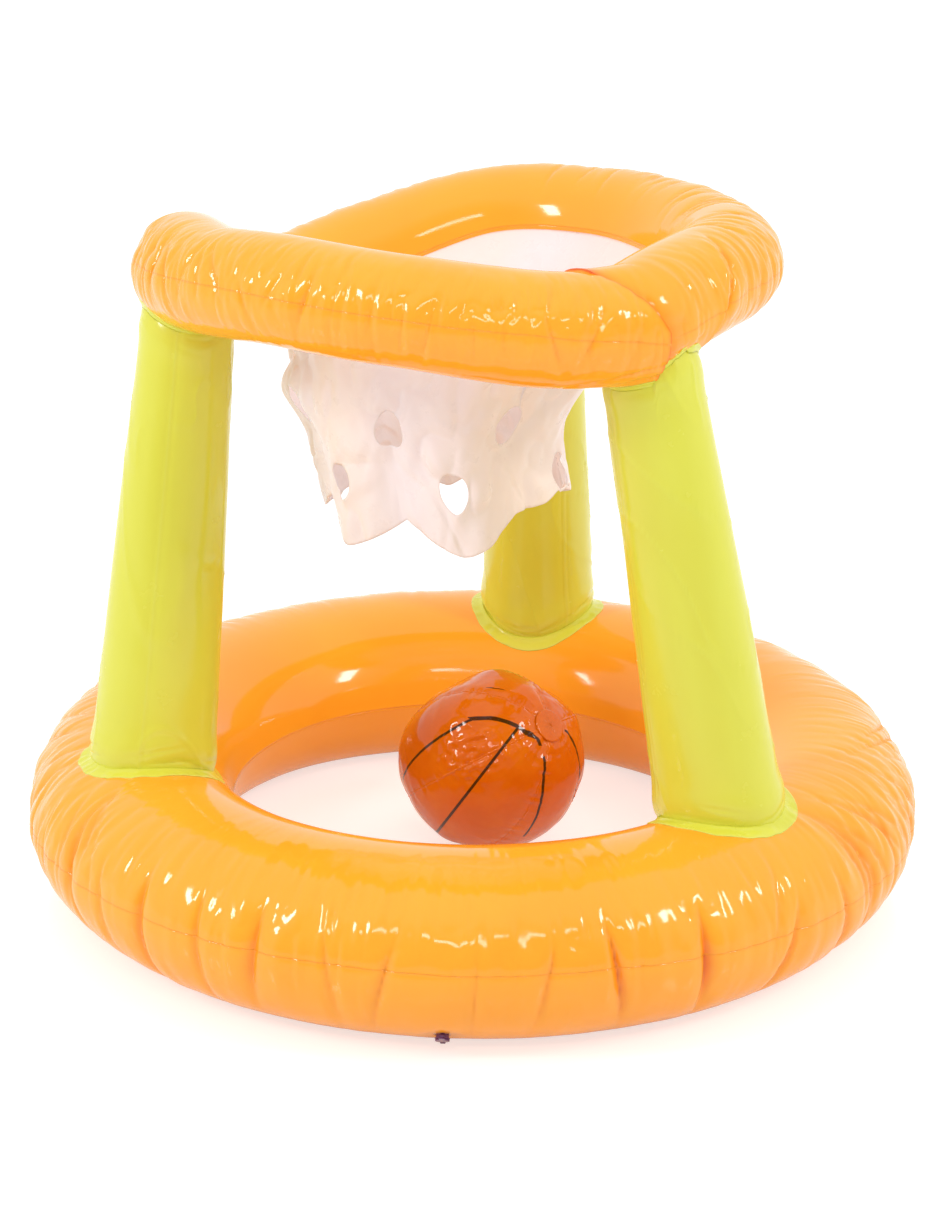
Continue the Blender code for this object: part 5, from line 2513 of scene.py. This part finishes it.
# The ridge, the second edge and the two creases that follow the hoop ring's fold
FOLD_CREASES = (
    (318.0, -0.0040, 0.0040, 15, 80, 0.10), (321.5, 0.0064, 0.0018, 10, 85, 0.10),
    (312.5, 0.0026, 0.0018, -42, 34, 0.35), (316.0, 0.0024, 0.0018, -38, 30, 0.30),
)


def base_creases() -> Creases:
    """The base ring's creases: long ones across the front, and fans from the legs' feet.

    Returns:
        The creases.
    """
    reach, seed, start, end, step = 0.335, 4, 336.0, 563.0, (3.5, 6.5)
    creases, draw = Creases(reach), np.random.default_rng(seed)
    for angle, depth in FRONT_CREASES:
        creases.add(angle, depth / 1000, **FRONT_PLEATS.drawn(draw))
    angle = start
    while angle < end:
        creases.add(angle, **BASE_PLEATS.drawn(draw))
        angle += draw.uniform(*step)
    for fan in BASE_FANS:
        creases.fan(*fan)
    return creases


def hoop_creases() -> Creases:
    """The hoop ring's creases: short ones along the seams and fans at the back and ends.

    Returns:
        The creases.
    """
    reach, seed, start, end, step = 0.22, 8, 200.0, 556.0, (4.5, 8.5)
    bare_from, bare_to, back_start, back_end, back_step, scatter = 301, 326, 341, 432, 3.2, 1.3
    creases, draw = Creases(reach), np.random.default_rng(seed)
    angle = start
    while angle < end:
        if not bare_from < angle % 360 < bare_to:
            creases.add(angle, **SEAM_PLEATS.drawn(draw))
        angle += draw.uniform(*step)
    for angle in np.arange(back_start, back_end, back_step):
        creases.add(angle + draw.uniform(-scatter, scatter), **BACK_PLEATS.drawn(draw))
    for angle in END_ANGLES:
        creases.add(angle, **END_PLEATS.drawn(draw))
    for crease in FOLD_CREASES:
        creases.add(*crease)
    return creases


def main() -> None:
    """Builds the toy's pieces in order, then the studio."""
    orange, lime = ORANGE_FILM.material(), LIME_FILM.material()
    flap, moulded = FLAP_FILM.material(), VALVE_VINYL.material()
    seats = {owner: Seat.of(owner) for owner in VALVES}
    base = BaseRing(
        name="base_ring", half_width=0.0765, half_height=0.064, creases=base_creases(),
        columns={Half.UPPER: 1180, Half.LOWER: 1000}, rows={Half.UPPER: 66, Half.LOWER: 50},
        seats=[seats["base"]], seam_turns=BASE_SEAM_TURNS, seed=1,
    )
    hoop = HoopRing(
        name="hoop_ring", half_width=0.0415, half_height=0.03775, creases=hoop_creases(),
        columns={Half.UPPER: 1100, Half.LOWER: 1000}, rows={Half.UPPER: 60, Half.LOWER: 46},
        seats=[seats["hoop"]], seam_turns=HOOP_SEAM_TURNS, seed=21,
    )
    for ring in (base, hoop):
        for half in Half:
            node = f"{ring.name}_{half.value}_sheet"
            installed(ring.film(half, orange), "stand", "ring_orange", node)
    for name, foot in LEG_FEET.items():
        sizes, seed = LegSizes(foot_inset=LEG_INSETS[name]), LEG_SEEDS[name]
        Leg(name, foot, LEG_TOPS[name], base, hoop, LEG_SEAMS[name], seed, sizes).build(lime)
    Net(hoop).build(NET_FILM.material(), NET_SHADED_INSIDE.material())
    ball = Ball()
    ball_film = BallFilm(
        "ball_film", (0.62, 0.115, 0.001), (0.68, 0.155, 0.004), (0.002, 0.002, 0.002),
        ball.centre, ball.radius, BALL_LINES,
    )
    ball.build(ball_film.material())
    for owner, (body, radius) in VALVES.items():
        Valve(owner, body, seats[owner], radius).build(moulded, flap)
    Studio().build()


if __name__ == "__main__":
    main()
